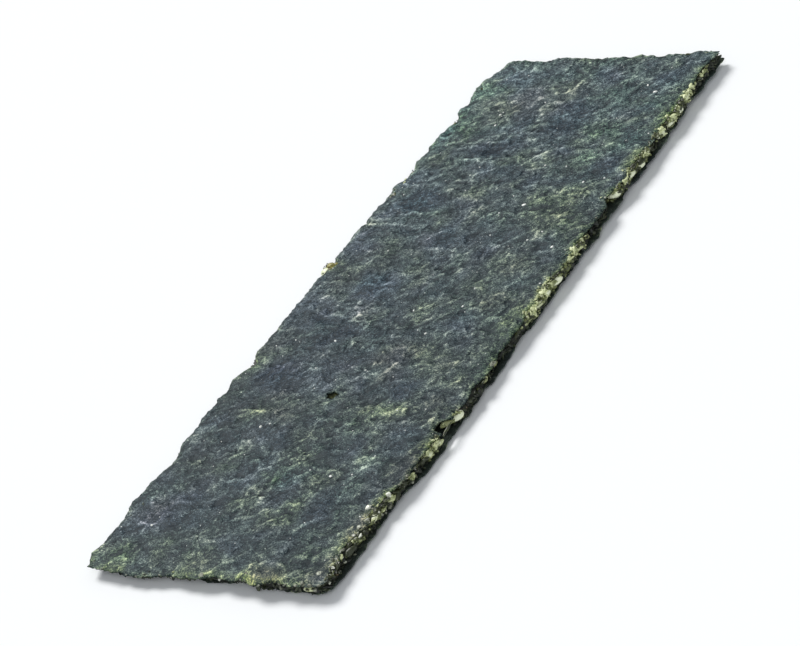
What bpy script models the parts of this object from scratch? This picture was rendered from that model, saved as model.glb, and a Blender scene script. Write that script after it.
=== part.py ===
"""A flat crisp of roasted laver: two thin crinkled sheets with one layer of seeds in dried syrup between them.

The long side runs along Y, with the front end at -Y and the crisp's upper face at +Z. The lower sheet's lowest
spots lie on Z = 0, and the origin is in the middle of the outline. Sizes below are in millimetres.

Each layer is a closed slab. Its outline is the zero line of an inside distance, found by walking out from the
crisp's middle line, so that every nick, bite and rounded corner is one term of that distance. Its upper and
lower faces follow the same slow swell, so the layers stay parallel, and the outer faces carry the laver's
blisters.
"""

import math

import bpy
from mathutils import Vector, noise
from mathutils.geometry import delaunay_2d_cdt

MM = 0.001

LENGTH = 95.0
WIDTH = 35.0
SHEET = 0.27            # thickness of one sheet of laver
FILLING = 0.95          # depth of the seed layer
PINCHED = 0.50          # its depth where the sheets close up, at the front left corner
CLEARANCE = 0.08        # gap between a sheet and the filling
BOW = 0.18              # how far the long sides lift
TWIST = 0.13            # how far the corners lift and drop
BLISTER = 0.085         # height of the blisters on the outer faces
CORNER = 2.6            # radius of the worn front right corner
STEP = 1.15             # spacing of the points round an outline
CELL = 2.85             # spacing of the points inside it

# A nick or bulge in a side: (where along the side, half its width, how far it goes in). A negative depth bulges.
# Along the long sides the place is Y, along the ends it is X.
TOP_LEFT = (
    (34.5, 1.9, 0.85), (37.2, 1.0, -0.35), (22.6, 1.7, 0.75), (20.2, 0.9, -0.3), (12.3, 0.9, 0.35),
    (4.0, 0.9, 0.7), (-7.0, 2.4, -0.2), (-14.6, 1.0, 1.25), (-16.6, 1.2, -0.45), (-32.0, 1.9, 0.6),
    (-34.6, 1.3, -0.25), (-45.6, 1.2, -0.35),
)
TOP_RIGHT = (
    (43.0, 1.6, 0.3), (16.9, 1.1, 0.85), (8.0, 1.4, 0.2), (0.5, 1.8, 0.35), (-10.8, 1.3, 0.25), (-16.4, 1.0, 0.45),
    (-28.6, 1.5, 0.3), (-36.0, 2.6, 0.75), (-41.5, 2.2, 1.1),
)
TOP_FRONT = ((-12.0, 1.1, 0.3), (-3.5, 1.4, 0.25), (6.0, 1.2, 0.35), (11.5, 1.6, -0.2))
TOP_BACK = ((-8.0, 1.6, 0.5), (-11.4, 1.0, -0.15), (9.0, 1.7, 0.55), (2.0, 1.2, 0.2), (14.8, 1.4, -0.35))
FILL_LEFT = ((4.0, 0.75, -1.35), (30.0, 2.2, 0.5), (16.0, 1.6, 0.4), (-20.0, 2.4, 0.5), (-38.0, 1.8, 0.45))
FILL_RIGHT = (
    (33.0, 2.2, -0.35), (25.0, 1.6, -0.3), (17.0, 1.4, 1.3), (5.5, 2.6, -0.45), (-1.5, 1.6, -0.35), (-11.0, 2.2, 0.6),
    (-19.8, 0.9, -0.5), (-36.6, 0.9, -0.4), (-43.0, 1.8, 0.35),
)
FILL_FRONT = ((-14.5, 1.6, 0.55), (-6.0, 1.5, 0.4), (2.0, 1.2, -0.3), (8.5, 2.6, -0.3))
FILL_BACK = ((-9.0, 2.0, 0.6), (0.0, 1.6, -0.25), (7.0, 1.8, 0.5), (14.0, 1.3, -0.3))
BASE_LEFT = ((28.0, 1.6, 0.7), (9.0, 1.2, 0.45), (-3.0, 1.1, -0.3), (-24.0, 1.5, 0.8), (-41.0, 1.3, 0.4))
BASE_RIGHT = (
    (38.0, 1.4, 0.4), (21.0, 1.6, 0.6), (12.0, 1.2, -0.25), (-6.0, 1.5, 0.55), (-25.0, 1.3, -0.3), (-32.0, 1.4, 0.5),
)
BASE_FRONT = ((-9.0, 1.4, 0.45), (0.0, 1.2, -0.2), (4.5, 1.5, 0.5), (13.0, 1.3, 0.3))
BASE_BACK = ((-12.0, 1.5, 0.4), (-2.0, 1.3, 0.55), (10.5, 1.5, -0.3))

BITE = (17.45, -22.7, 1.25)       # centre and radius of the round bite in the right side, through the upper sheet
HOLE = (-1.5, -19.1, 0.82, 0.58)  # centre and half axes of the small hole in the upper sheet
CHAMFER = ((-16.6, 42.6), (-14.4, 47.3))  # the cut across the back left corner runs through these points

# Where the lower sheet touches what it lies on: a flat patch in the middle, as its centre, half length and half
# width, and the tips of three deep blisters. A tip's flanks are FOOT wide.
PATCH = (0.0, 2.0, 8.0, 6.0)
FEET = ((-11.5, -35.0), (11.0, -36.5), (1.0, 41.0))
FOOT = 3.4


def wave(x, y, size, seed):
    """Smooth noise from about -1 to 1, whose features are about size across."""
    return noise.noise(Vector((x / size + 13.7 * seed, y / size - 7.3 * seed, 3.1 * seed)))


def smooth(a, b, v):
    t = min(1.0, max(0.0, (v - a) / (b - a)))
    return t * t * (3.0 - 2.0 * t)


def nicks(at, marks):
    return sum(depth * math.exp(-1.4 * ((at - place) / half) ** 2) for place, half, depth in marks)


def swell(x, y):
    """Height of the crisp's own slow bend over the flat, before it is let down on its flat patch."""
    side = (2.0 * x / WIDTH) ** 2
    bend = BOW * side * (0.75 + 0.25 * math.sin(y / 17.0))
    turn = TWIST * (2.0 * x / WIDTH) * math.sin(1.35 * y / LENGTH * math.pi)
    ends = 0.10 * smooth(30.0, 47.5, abs(y))
    return 0.22 + bend + turn + ends + 0.09 * wave(x, y, 24.0, 1.0)


def settle(x, y):
    """How much of the swell is left: none in the middle of the flat patch, and all of it well away."""
    px, py, half_y, half_x = PATCH
    return smooth(0.72, 2.3, math.hypot((x - px) / half_x, (y - py) / half_y))


def tips(x, y):
    """None at the tip of a deep blister of the underside, and one beyond its flanks."""
    left = 1.0
    for px, py in FEET:
        left *= smooth(0.0, FOOT, math.hypot(x - px, y - py))
    return left


def under(x, y):
    """Height of the lower sheet's underside, without its blisters."""
    return settle(x, y) * max(0.06, swell(x, y))


def depth(x, y):
    """Depth of the seed layer at a place."""
    corner = smooth(4.0, 24.0, math.hypot(x + 0.5 * WIDTH, 0.8 * (y + 0.5 * LENGTH)))
    return PINCHED + (FILLING - PINCHED) * corner + 0.05 * wave(x, y, 17.0, 2.0)


def blister(x, y, seed):
    """The laver's blisters: broad pillows with a few ridges that run aslant."""
    ridge = abs(wave(x + 0.6 * y, 0.55 * y, 6.5, seed + 4.0))
    return BLISTER * (0.6 + 0.7 * wave(x, y, 7.5, seed) - 1.1 * ridge)


def inside(x, y, left, right, front, back, seed, grow):
    """Distance from a place to a layer's outline, positive inside it."""
    rough = 0.22 * wave(x, y, 5.0, seed) + 0.12 * wave(x, y, 2.1, seed + 1.0)
    back_left = 0.95 * smooth(12.0, 44.0, y)
    to_left = x + 0.5 * WIDTH - back_left - nicks(y, left)
    to_right = 0.5 * WIDTH - 0.15 - 0.3 * smooth(-15.0, -42.0, y) - x - nicks(y, right)
    to_front = y + 0.5 * LENGTH - nicks(x, front)
    to_back = 0.5 * LENGTH - y - nicks(x, back)
    d = min(to_left, to_right, to_front, to_back) + rough + grow
    cx = 0.5 * WIDTH - 0.6 - CORNER
    cy = -0.5 * LENGTH + CORNER
    if x > cx and y < cy:
        d = min(d, CORNER - math.hypot(x - cx, y - cy) + 0.5 * rough + grow)
    (ax, ay), (bx, by) = CHAMFER
    run = math.hypot(bx - ax, by - ay)
    d = min(d, ((x - ax) * (by - ay) - (y - ay) * (bx - ax)) / run + 0.5 * rough + grow)
    return d


def upper_inside(x, y):
    d = inside(x, y, TOP_LEFT, TOP_RIGHT, TOP_FRONT, TOP_BACK, 11.0, 0.0)
    return min(d, math.hypot(x - BITE[0], y - BITE[1]) - BITE[2])


def filling_inside(x, y):
    lumps = 0.30 * wave(x, y, 3.2, 21.0)
    return inside(x, y, FILL_LEFT, FILL_RIGHT, FILL_FRONT, FILL_BACK, 20.0, -0.05) + lumps


def lower_inside(x, y):
    return inside(x, y, BASE_LEFT, BASE_RIGHT, BASE_FRONT, BASE_BACK, 31.0, 0.05)


def outline(distance, fine):
    """Points anticlockwise round a layer. Each is where a straight walk out from the middle line leaves the layer.
    Near each place in fine, on the right side, the walks are three times as close."""
    half_x, half_y, r = 0.5 * WIDTH, 0.5 * LENGTH, 4.0
    walks = []

    def along(start, end, count, heading):
        for i in range(count):
            t = i / count
            x = start[0] + (end[0] - start[0]) * t
            y = start[1] + (end[1] - start[1]) * t
            walks.append((x, y, heading))

    def fan(centre, first):
        for i in range(5):
            walks.append((centre[0], centre[1], first + 0.5 * math.pi * i / 5.0))

    across = round((WIDTH - 2.0 * r) / STEP)
    up = round((LENGTH - 2.0 * r) / STEP)
    along((-half_x + r, -half_y + r), (half_x - r, -half_y + r), across, -0.5 * math.pi)
    fan((half_x - r, -half_y + r), -0.5 * math.pi)
    for i in range(up):
        y = -half_y + r + (LENGTH - 2.0 * r) * i / up
        near = any(abs(y - place) < 2.0 for place in fine)
        for k in range(3 if near else 1):
            walks.append((half_x - r, y + k * (LENGTH - 2.0 * r) / up / 3.0, 0.0))
    fan((half_x - r, half_y - r), 0.0)
    along((half_x - r, half_y - r), (-half_x + r, half_y - r), across, 0.5 * math.pi)
    fan((-half_x + r, half_y - r), 0.5 * math.pi)
    along((-half_x + r, half_y - r), (-half_x + r, -half_y + r), up, math.pi)
    fan((-half_x + r, -half_y + r), math.pi)

    points = []
    for x, y, heading in walks:
        cx, cy = math.cos(heading), math.sin(heading)
        reach, step = 0.0, 0.1
        while distance(x + cx * reach, y + cy * reach) > 0.0:
            reach += step
        low, high = reach - step, reach
        for _ in range(24):
            middle = 0.5 * (low + high)
            if distance(x + cx * middle, y + cy * middle) > 0.0:
                low = middle
            else:
                high = middle
        points.append((x + cx * low, y + cy * low))
    kept = [points[0]]
    for p in points[1:]:
        if math.dist(p, kept[-1]) > 0.28 and math.dist(p, kept[0]) > 0.28:
            kept.append(p)
    return kept


def within(p, loop):
    hit = False
    for (ax, ay), (bx, by) in zip(loop, loop[1:] + loop[:1]):
        if (ay > p[1]) != (by > p[1]) and p[0] < ax + (bx - ax) * (p[1] - ay) / (by - ay):
            hit = not hit
    return hit


def slab(name, distance, low, high, colour, roughness, hole=None, waist=0.0, fine=(), pins=()):
    """A closed layer between the heights low(x, y) and high(x, y), with side walls. A waist bulges the walls. Each
    pin is a place with a point of its own, and no other point near it."""
    rim = outline(distance, fine)
    loops = [rim]
    if hole:
        cx, cy, a, b = hole
        count = 10
        loops.append([
            (cx + a * (1.0 + 0.15 * math.sin(3.0 * t)) * math.cos(t), cy + b * math.sin(t))
            for t in (-2.0 * math.pi * i / count for i in range(count))
        ])
    points = [p for loop in loops for p in loop]
    edges, first = [], 0
    for loop in loops:
        edges += [(first + i, first + (i + 1) % len(loop)) for i in range(len(loop))]
        first += len(loop)
    rows = int(LENGTH / (0.866 * CELL)) + 2
    columns = int(WIDTH / CELL) + 3
    for j in range(rows):
        for i in range(columns):
            x = (i - 0.5 * columns + 0.5 * (j % 2)) * CELL
            y = (j - 0.5 * rows) * 0.866 * CELL
            x += 0.5 * wave(x, y, 2.3, 41.0)
            y += 0.5 * wave(x, y, 2.3, 42.0)
            if distance(x, y) < 0.9:
                continue
            if hole and math.hypot((x - hole[0]) / hole[2], (y - hole[1]) / hole[3]) < 2.0:
                continue
            if any(math.dist((x, y), pin) < 2.2 for pin in pins):
                continue
            points.append((x, y))
    points += pins
    flat, _, faces, *_ = delaunay_2d_cdt([Vector(p) for p in points], edges, [], 1, 1e-7)
    flat = [(p.x, p.y) for p in flat]
    triangles = []
    for face in faces:
        centre = (sum(flat[i][0] for i in face) / 3.0, sum(flat[i][1] for i in face) / 3.0)
        if within(centre, rim) and not (hole and within(centre, loops[1])):
            (ax, ay), (bx, by), (cx, cy) = (flat[i] for i in face)
            turn = (bx - ax) * (cy - ay) - (by - ay) * (cx - ax)
            triangles.append(tuple(face) if turn > 0.0 else tuple(reversed(face)))

    count = len(flat)
    vertices = [(x, y, high(x, y)) for x, y in flat] + [(x, y, low(x, y)) for x, y in flat]
    shell = list(triangles) + [tuple(count + i for i in reversed(t)) for t in triangles]
    sides = {}
    for a, b, c in triangles:
        for edge in ((a, b), (b, c), (c, a)):
            sides[edge] = True
    border = [(a, b) for a, b in sides if (b, a) not in sides]
    if waist:
        follows = dict(border)
        leads = {b: a for a, b in border}
        middle = {}
        for a in follows:
            x, y = flat[a]
            nx, ny = flat[follows[a]], flat[leads[a]]
            tx, ty = nx[0] - ny[0], nx[1] - ny[1]
            size = math.hypot(tx, ty) or 1.0
            push = waist * (0.6 + 1.4 * wave(x, y, 1.9, 51.0))
            x, y = x + push * ty / size, y - push * tx / size
            middle[a] = len(vertices)
            share = 0.5 + 0.25 * wave(x, y, 2.7, 52.0)
            base, top = vertices[count + a][2], vertices[a][2]
            vertices.append((x, y, base + share * (top - base)))
        for a, b in border:
            shell += [(a, middle[a], middle[b]), (a, middle[b], b)]
            shell += [(middle[a], count + a, count + b), (middle[a], count + b, middle[b])]
    else:
        for a, b in border:
            shell += [(a, count + a, count + b), (a, count + b, b)]

    mesh = bpy.data.meshes.new(name)
    mesh.from_pydata([(x * MM, y * MM, z * MM) for x, y, z in vertices], [], shell)
    mesh.update()
    mesh.shade_smooth()
    mesh.set_sharp_from_angle(angle=math.radians(50.0))
    material = bpy.data.materials.new(name)
    material.use_nodes = True
    shader = material.node_tree.nodes["Principled BSDF"]
    shader.inputs["Base Color"].default_value = (*colour, 1.0)
    shader.inputs["Roughness"].default_value = roughness
    shader.inputs["Metallic"].default_value = 0.0
    material.diffuse_color = (*colour, 1.0)
    mesh.materials.append(material)
    layer = bpy.data.objects.new(name, mesh)
    bpy.context.scene.collection.objects.link(layer)
    return layer


def centre_on_floor(layers):
    """Moves every layer alike, so that their common box stands on Z = 0 with its middle over the origin."""
    corners = [v.co for layer in layers for v in layer.data.vertices]
    low = [min(c[k] for c in corners) for k in range(3)]
    high = [max(c[k] for c in corners) for k in range(3)]
    shift = Vector((-0.5 * (low[0] + high[0]), -0.5 * (low[1] + high[1]), -low[2]))
    for layer in layers:
        for vertex in layer.data.vertices:
            vertex.co += shift
        layer.data.update()


for item in list(bpy.data.objects):
    bpy.data.objects.remove(item, do_unlink=True)

laver = (0.055, 0.066, 0.068)
syrup = (0.46, 0.40, 0.17)


def lower_low(x, y):
    """The lower sheet's underside, whose blisters stop at the flat patch."""
    return tips(x, y) * max(0.0, under(x, y) + min(1.0, 8.0 * settle(x, y)) * (blister(x, y, 61.0) - 0.02))


def lower_high(x, y):
    return under(x, y) + SHEET


def filling_low(x, y):
    return lower_high(x, y) + CLEARANCE


def filling_high(x, y):
    return filling_low(x, y) + depth(x, y)


def upper_low(x, y):
    return filling_high(x, y) + CLEARANCE


def upper_high(x, y):
    return upper_low(x, y) + SHEET + blister(x, y, 71.0)


crisp = [
    slab("laver_upper", upper_inside, upper_low, upper_high, laver, 0.55, hole=HOLE, fine=(BITE[1],)),
    slab("seed_filling", filling_inside, filling_low, filling_high, syrup, 0.45, waist=0.16),
    slab("laver_lower", lower_inside, lower_low, lower_high, laver, 0.55, pins=FEET),
]
centre_on_floor(crisp)
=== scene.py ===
"""The looks of a flat crisp of roasted laver: two crinkled sheets and a layer of sesame seeds, crumbs and dried
syrup between them. Lengths are in millimetres until a mesh is made."""

import math

import bpy
import numpy as np
from mathutils import Matrix, Vector, noise
from mathutils.geometry import delaunay_2d_cdt
from mathutils.kdtree import KDTree


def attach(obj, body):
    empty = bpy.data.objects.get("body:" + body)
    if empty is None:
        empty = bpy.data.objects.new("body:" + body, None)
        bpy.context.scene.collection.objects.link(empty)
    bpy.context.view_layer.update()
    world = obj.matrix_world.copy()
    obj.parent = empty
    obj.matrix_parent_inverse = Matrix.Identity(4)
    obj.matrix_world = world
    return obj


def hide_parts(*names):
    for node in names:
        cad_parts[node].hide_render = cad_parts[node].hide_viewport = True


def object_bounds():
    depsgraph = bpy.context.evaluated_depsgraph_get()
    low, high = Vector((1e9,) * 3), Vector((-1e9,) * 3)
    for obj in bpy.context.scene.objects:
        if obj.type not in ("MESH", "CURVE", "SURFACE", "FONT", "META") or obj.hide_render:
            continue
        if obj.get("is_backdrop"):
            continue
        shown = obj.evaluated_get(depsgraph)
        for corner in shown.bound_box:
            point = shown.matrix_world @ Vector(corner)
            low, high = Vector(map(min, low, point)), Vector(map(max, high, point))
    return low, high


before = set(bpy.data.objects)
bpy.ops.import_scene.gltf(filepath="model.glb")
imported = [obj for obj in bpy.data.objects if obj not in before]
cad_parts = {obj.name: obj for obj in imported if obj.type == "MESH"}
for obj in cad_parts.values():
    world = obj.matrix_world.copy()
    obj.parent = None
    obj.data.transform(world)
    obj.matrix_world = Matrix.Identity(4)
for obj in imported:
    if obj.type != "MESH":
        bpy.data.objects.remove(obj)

cad_low, cad_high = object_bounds()
MM = 0.001
SHIFT = (0.19898, -0.05291)   # from the outline's own middle to the origin

# The crisp's form, as the solids have it.
LENGTH, WIDTH = 95.0, 35.0
SHEET, FILLING, PINCHED, CLEARANCE = 0.27, 0.95, 0.50, 0.08
BOW, TWIST, CORNER = 0.18, 0.13, 2.6
TOP_LEFT = (
    (34.5, 1.9, 0.85), (36.3, 1.0, -0.6), (38.3, 0.9, 0.35), (42.0, 1.0, -0.5), (23.2, 1.7, 0.8), (20.2, 0.9, -0.5),
    (12.3, 0.9, 0.35), (4.0, 0.9, 0.7), (-4.2, 1.3, -0.35), (-7.0, 2.4, -0.1), (-14.8, 1.2, 1.3), (-17.8, 1.2, -0.3),
    (-24.6, 2.2, -0.35), (-32.0, 1.9, 0.6), (-34.6, 1.3, -0.25), (-38.2, 2.4, -0.7), (-46.0, 1.6, -0.45),
)
TOP_RIGHT = (
    (43.0, 1.6, 0.3), (16.9, 1.1, 0.85), (8.0, 1.4, 0.2), (0.5, 1.8, 0.35), (-10.8, 1.3, 0.25), (-16.4, 1.0, 0.45),
    (-28.6, 1.5, 0.3), (-36.0, 2.6, 0.75), (-41.5, 2.2, 0.9), (-44.8, 1.6, 0.5),
)
TOP_FRONT = ((-12.0, 1.1, 0.15), (-9.5, 7.5, -0.7), (-1.0, 2.6, -0.5), (3.5, 1.8, -0.3), (7.6, 2.0, -0.75), (12.0, 1.6, -0.35))
TOP_BACK = ((-8.0, 1.6, -0.2), (-11.4, 1.0, -0.15), (4.0, 1.2, 0.25), (9.0, 2.2, 0.75), (2.0, 1.2, 0.2), (12.6, 1.3, 0.35), (16.2, 1.4, 0.3))
FILL_LEFT = ((4.0, 0.75, -1.35), (30.0, 2.2, 0.5), (16.0, 1.6, 0.4), (-20.0, 2.4, 0.5), (-38.0, 1.8, 0.45))
FILL_RIGHT = (
    (33.0, 2.2, -0.35), (25.0, 1.6, -0.3), (17.0, 1.4, 1.3), (5.5, 2.6, -0.45), (-1.5, 1.6, -0.35), (-11.0, 2.2, 0.6),
    (-19.8, 0.9, -0.5), (-36.6, 0.9, -0.1), (-40.0, 1.6, 0.25), (-43.0, 1.8, 0.35),
)
FILL_FRONT = ((-14.5, 1.2, 0.35), (-6.0, 1.2, 0.3), (2.0, 1.2, -0.3), (8.5, 2.6, -0.3))
FILL_BACK = ((-9.0, 2.0, 0.6), (0.0, 1.6, -0.25), (7.0, 1.8, 0.5), (14.0, 1.3, -0.3))
BASE_LEFT = ((28.0, 1.6, 0.7), (9.0, 1.2, 0.45), (-3.0, 1.1, -0.3), (-24.0, 1.5, 0.8), (-41.0, 1.3, 0.4))
BASE_RIGHT = (
    (38.0, 1.4, 0.4), (21.0, 1.6, 0.6), (12.0, 1.2, -0.25), (-6.0, 1.5, 0.55), (-25.0, 1.3, -0.3), (-32.0, 1.4, 0.5),
)
BASE_FRONT = ((-9.0, 1.4, 0.45), (0.0, 1.2, -0.2), (4.5, 1.5, 0.5), (13.0, 1.3, 0.3))
BASE_BACK = ((-12.0, 1.5, 0.4), (-2.0, 1.3, 0.55), (10.5, 1.5, -0.3))
BITE = (16.68, -22.75, 1.06)
HOLE = (-1.5, -19.1, 0.82, 0.58)
CHAMFER = ((-17.3, 42.4), (-15.3, 47.4))
PATCH = (0.0, 2.0, 8.0, 6.0)
FEET = ((-11.5, -35.0), (11.0, -36.5), (1.0, 41.0))
FOOT = 3.4


def wave(x, y, size, seed):
    return noise.noise(Vector((x / size + 13.7 * seed, y / size - 7.3 * seed, 3.1 * seed)))


def smooth(a, b, v):
    t = min(1.0, max(0.0, (v - a) / (b - a)))
    return t * t * (3.0 - 2.0 * t)


def nicks(at, marks):
    return sum(depth * math.exp(-1.4 * ((at - place) / half) ** 2) for place, half, depth in marks)


def swell(x, y):
    side = (2.0 * x / WIDTH) ** 2
    bend = BOW * side * (0.75 + 0.25 * math.sin(y / 17.0))
    turn = TWIST * (2.0 * x / WIDTH) * math.sin(1.35 * y / LENGTH * math.pi)
    ends = 0.10 * smooth(30.0, 47.5, abs(y))
    return 0.22 + bend + turn + ends + 0.09 * wave(x, y, 24.0, 1.0)


def settle(x, y):
    px, py, half_y, half_x = PATCH
    return smooth(0.72, 2.3, math.hypot((x - px) / half_x, (y - py) / half_y))


def tips(x, y):
    left = 1.0
    for px, py in FEET:
        left *= smooth(0.0, FOOT, math.hypot(x - px, y - py))
    return left


def under(x, y):
    return settle(x, y) * max(0.06, swell(x, y))


def depth(x, y):
    corner = smooth(4.0, 24.0, math.hypot(x + 0.5 * WIDTH, 0.8 * (y + 0.5 * LENGTH)))
    return PINCHED + (FILLING - PINCHED) * corner + 0.05 * wave(x, y, 17.0, 2.0)


def inside(x, y, left, right, front, back, seed, grow):
    y += 0.9 * smooth(2.0, -17.5, x) * smooth(-38.0, -47.0, y)
    rough = 0.22 * wave(x, y, 5.0, seed) + 0.12 * wave(x, y, 2.1, seed + 1.0)
    back_left = 0.65 * smooth(12.0, 44.0, y)
    to_left = x + 0.5 * WIDTH - back_left - nicks(y, left)
    to_right = 0.5 * WIDTH - 0.15 - 0.3 * smooth(-15.0, -42.0, y) - 0.5 * smooth(-29.0, -34.0, y) - x - nicks(y, right)
    to_front = y + 0.5 * LENGTH - nicks(x, front)
    to_back = 0.5 * LENGTH - y - nicks(x, back)
    d = min(to_left, to_right, to_front, to_back) + rough + grow
    cx = 0.5 * WIDTH - 0.6 - CORNER
    cy = -0.5 * LENGTH + CORNER
    if x > cx and y < cy:
        d = min(d, CORNER - math.hypot(x - cx, y - cy) + 0.5 * rough + grow)
    (ax, ay), (bx, by) = CHAMFER
    run = math.hypot(bx - ax, by - ay)
    return min(d, ((x - ax) * (by - ay) - (y - ay) * (bx - ax)) / run + 0.5 * rough + grow)


def frayed(x, y, seed):
    """The fine tear of a sheet's edge: short teeth, and here and there a longer one."""
    teeth = 0.16 * wave(x, y, 1.6, seed + 1.5) + 0.19 * wave(x, y, 0.80, seed + 2.0) + 0.13 * wave(x, y, 0.38, seed + 3.0)
    return teeth - 0.06


def drawn_back(x, y):
    """How far the upper sheet's right rim stands back from pale filling."""
    if x < 12.0:
        return 0.0
    return 0.42 * min(1.0, sum(much * math.exp(-(((y - place) / half) ** 2)) for place, half, much in RIGHT_PALE))


def upper_inside(x, y):
    d = inside(x, y, TOP_LEFT, TOP_RIGHT, TOP_FRONT, TOP_BACK, 11.0, 0.0) + frayed(x, y, 11.0) - drawn_back(x, y)
    return min(d, math.hypot(x - BITE[0], y - BITE[1]) - BITE[2] + 0.12 * wave(x, y, 0.8, 14.0))


def filling_inside(x, y):
    lumps = 0.30 * wave(x, y, 3.2, 21.0)
    ahead = (0.45 * smooth(2.0, -5.0, x) - 0.6 * smooth(-12.5, -16.5, x)) * smooth(-43.0, -47.0, y)
    return inside(x, y, FILL_LEFT, FILL_RIGHT, FILL_FRONT, FILL_BACK, 20.0, -0.05 + ahead) + lumps


def lower_inside(x, y):
    set_back = (0.25 + 0.45 * smooth(2.0, -5.0, x)) * smooth(-43.0, -47.0, y)
    return inside(x, y, BASE_LEFT, BASE_RIGHT, BASE_FRONT, BASE_BACK, 31.0, 0.05 - set_back) + frayed(x, y, 31.0)


def outline(distance, step):
    """Points anticlockwise round a layer, about step apart, found by walking straight out from its middle line."""
    half_x, half_y, r = 0.5 * WIDTH, 0.5 * LENGTH, 2.6
    walks = []

    def along(start, end, heading):
        count = round(math.dist(start, end) / step)
        for i in range(count):
            t = i / count
            walks.append((start[0] + (end[0] - start[0]) * t, start[1] + (end[1] - start[1]) * t, heading))

    def fan(centre, first):
        count = round(0.5 * math.pi * r / step)
        for i in range(count):
            walks.append((centre[0], centre[1], first + 0.5 * math.pi * i / count))

    along((-half_x + r, -half_y + r), (half_x - r, -half_y + r), -0.5 * math.pi)
    fan((half_x - r, -half_y + r), -0.5 * math.pi)
    along((half_x - r, -half_y + r), (half_x - r, half_y - r), 0.0)
    fan((half_x - r, half_y - r), 0.0)
    along((half_x - r, half_y - r), (-half_x + r, half_y - r), 0.5 * math.pi)
    fan((-half_x + r, half_y - r), 0.5 * math.pi)
    along((-half_x + r, half_y - r), (-half_x + r, -half_y + r), math.pi)
    fan((-half_x + r, -half_y + r), math.pi)
    points = []
    for x, y, heading in walks:
        cx, cy = math.cos(heading), math.sin(heading)
        reach = 0.0
        while distance(x + cx * reach, y + cy * reach) > 0.0:
            reach += 0.15
        low, high = reach - 0.15, reach
        for _ in range(12):
            middle = 0.5 * (low + high)
            if distance(x + cx * middle, y + cy * middle) > 0.0:
                low = middle
            else:
                high = middle
        points.append((x + cx * low, y + cy * low))
    spaced = []
    for a, b in zip(points, points[1:] + points[:1]):
        gap = math.dist(a, b)
        if gap < 0.3 * step:
            continue
        pieces = max(1, round(gap / (1.3 * step)))
        spaced += [(a[0] + (b[0] - a[0]) * k / pieces, a[1] + (b[1] - a[1]) * k / pieces) for k in range(pieces)]
    return spaced


# The laver's brightness: the level of its plain ground, how much the marks stand out, the height of the folds, and
# its colour at levels from 0 to 1.4.
BASE_LEVEL, CONTRAST, FOLDS = 0.264, 1.17, 0.09
LAVER_STOPS = (
    (0.0, (0.0, 0.0036, 0.0070)), (0.179, (0.0215, 0.0368, 0.0425)), (0.357, (0.0660, 0.0915, 0.0920)),
    (0.536, (0.131, 0.169, 0.157)), (0.714, (0.276, 0.331, 0.300)), (1.0, (0.594, 0.653, 0.580)),
)


# Maps over the crisp: values on a square grid, read between its points.

GRID = 0.1
GX = np.arange(-20.0, 20.0 + GRID / 2, GRID)
GY = np.arange(-50.0, 50.0 + GRID / 2, GRID)
PX, PY = np.meshgrid(GX, GY)


def read(values, x, y, step=GRID):
    i = np.clip((np.asarray(x) + 20.0) / step, 0, values.shape[1] - 1.001)
    j = np.clip((np.asarray(y) + 50.0) / step, 0, values.shape[0] - 1.001)
    i0, j0 = i.astype(int), j.astype(int)
    fi, fj = i - i0, j - j0
    return (
        values[j0, i0] * (1 - fi) * (1 - fj) + values[j0, i0 + 1] * fi * (1 - fj)
        + values[j0 + 1, i0] * (1 - fi) * fj + values[j0 + 1, i0 + 1] * fi * fj
    )


def sampled(function, step=0.5):
    xs, ys = np.arange(-20.0, 20.0 + step / 2, step), np.arange(-50.0, 50.0 + step / 2, step)
    coarse = np.array([[function(float(x), float(y)) for x in xs] for y in ys])
    return read(coarse, PX, PY, step)


def perlin(x, y, seed):
    """Smooth noise, about -1 to 1, with features about 1 across."""
    xi, yi = np.floor(x).astype(np.int64), np.floor(y).astype(np.int64)
    fx, fy = x - xi, y - yi

    def corner(dx, dy):
        h = ((xi + dx) * 73856093) ^ ((yi + dy) * 19349663) ^ (seed * 83492791)
        h = (h ^ (h >> 13)) & 0x7FFFFFFF
        h = (h * 1274126177) & 0x7FFFFFFF
        h = h ^ (h >> 15)
        angle = (h & 0xFFFF) * (2.0 * math.pi / 65536.0)
        return np.cos(angle) * (fx - dx) + np.sin(angle) * (fy - dy)

    u = fx * fx * fx * (fx * (fx * 6 - 15) + 10)
    v = fy * fy * fy * (fy * (fy * 6 - 15) + 10)
    low = corner(0, 0) * (1 - u) + corner(1, 0) * u
    high = corner(0, 1) * (1 - u) + corner(1, 1) * u
    return 1.5 * (low * (1 - v) + high * v)


def blurred(values, sigma):
    """A Gaussian blur of sigma millimetres."""
    fy = np.fft.fftfreq(values.shape[0], GRID)[:, None]
    fx = np.fft.rfftfreq(values.shape[1], GRID)[None, :]
    gain = np.exp(-2.0 * (math.pi * sigma) ** 2 * (fx**2 + fy**2))
    return np.fft.irfft2(np.fft.rfft2(values) * gain, s=values.shape)


def turned(x, y, degrees, long, wide):
    """Coordinates in units of long along a direction and of wide across it."""
    c, s = math.cos(math.radians(degrees)), math.sin(math.radians(degrees))
    return (x * c + y * s) / long, (-x * s + y * c) / wide


def warped(seed, coarse, fine):
    """The plane's coordinates pushed about a little, so that nothing drawn over them is straight."""
    return tuple(
        P + coarse * perlin(PX / 2.2, PY / 2.2, seed + k) + fine * perlin(PX / 0.9, PY / 0.9, seed + k + 1)
        for k, P in ((0, PX), (2, PY))
    )


def smooth_map(a, b, v):
    t = np.clip((v - a) / (b - a), 0.0, 1.0)
    return t * t * (3.0 - 2.0 * t)


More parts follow.
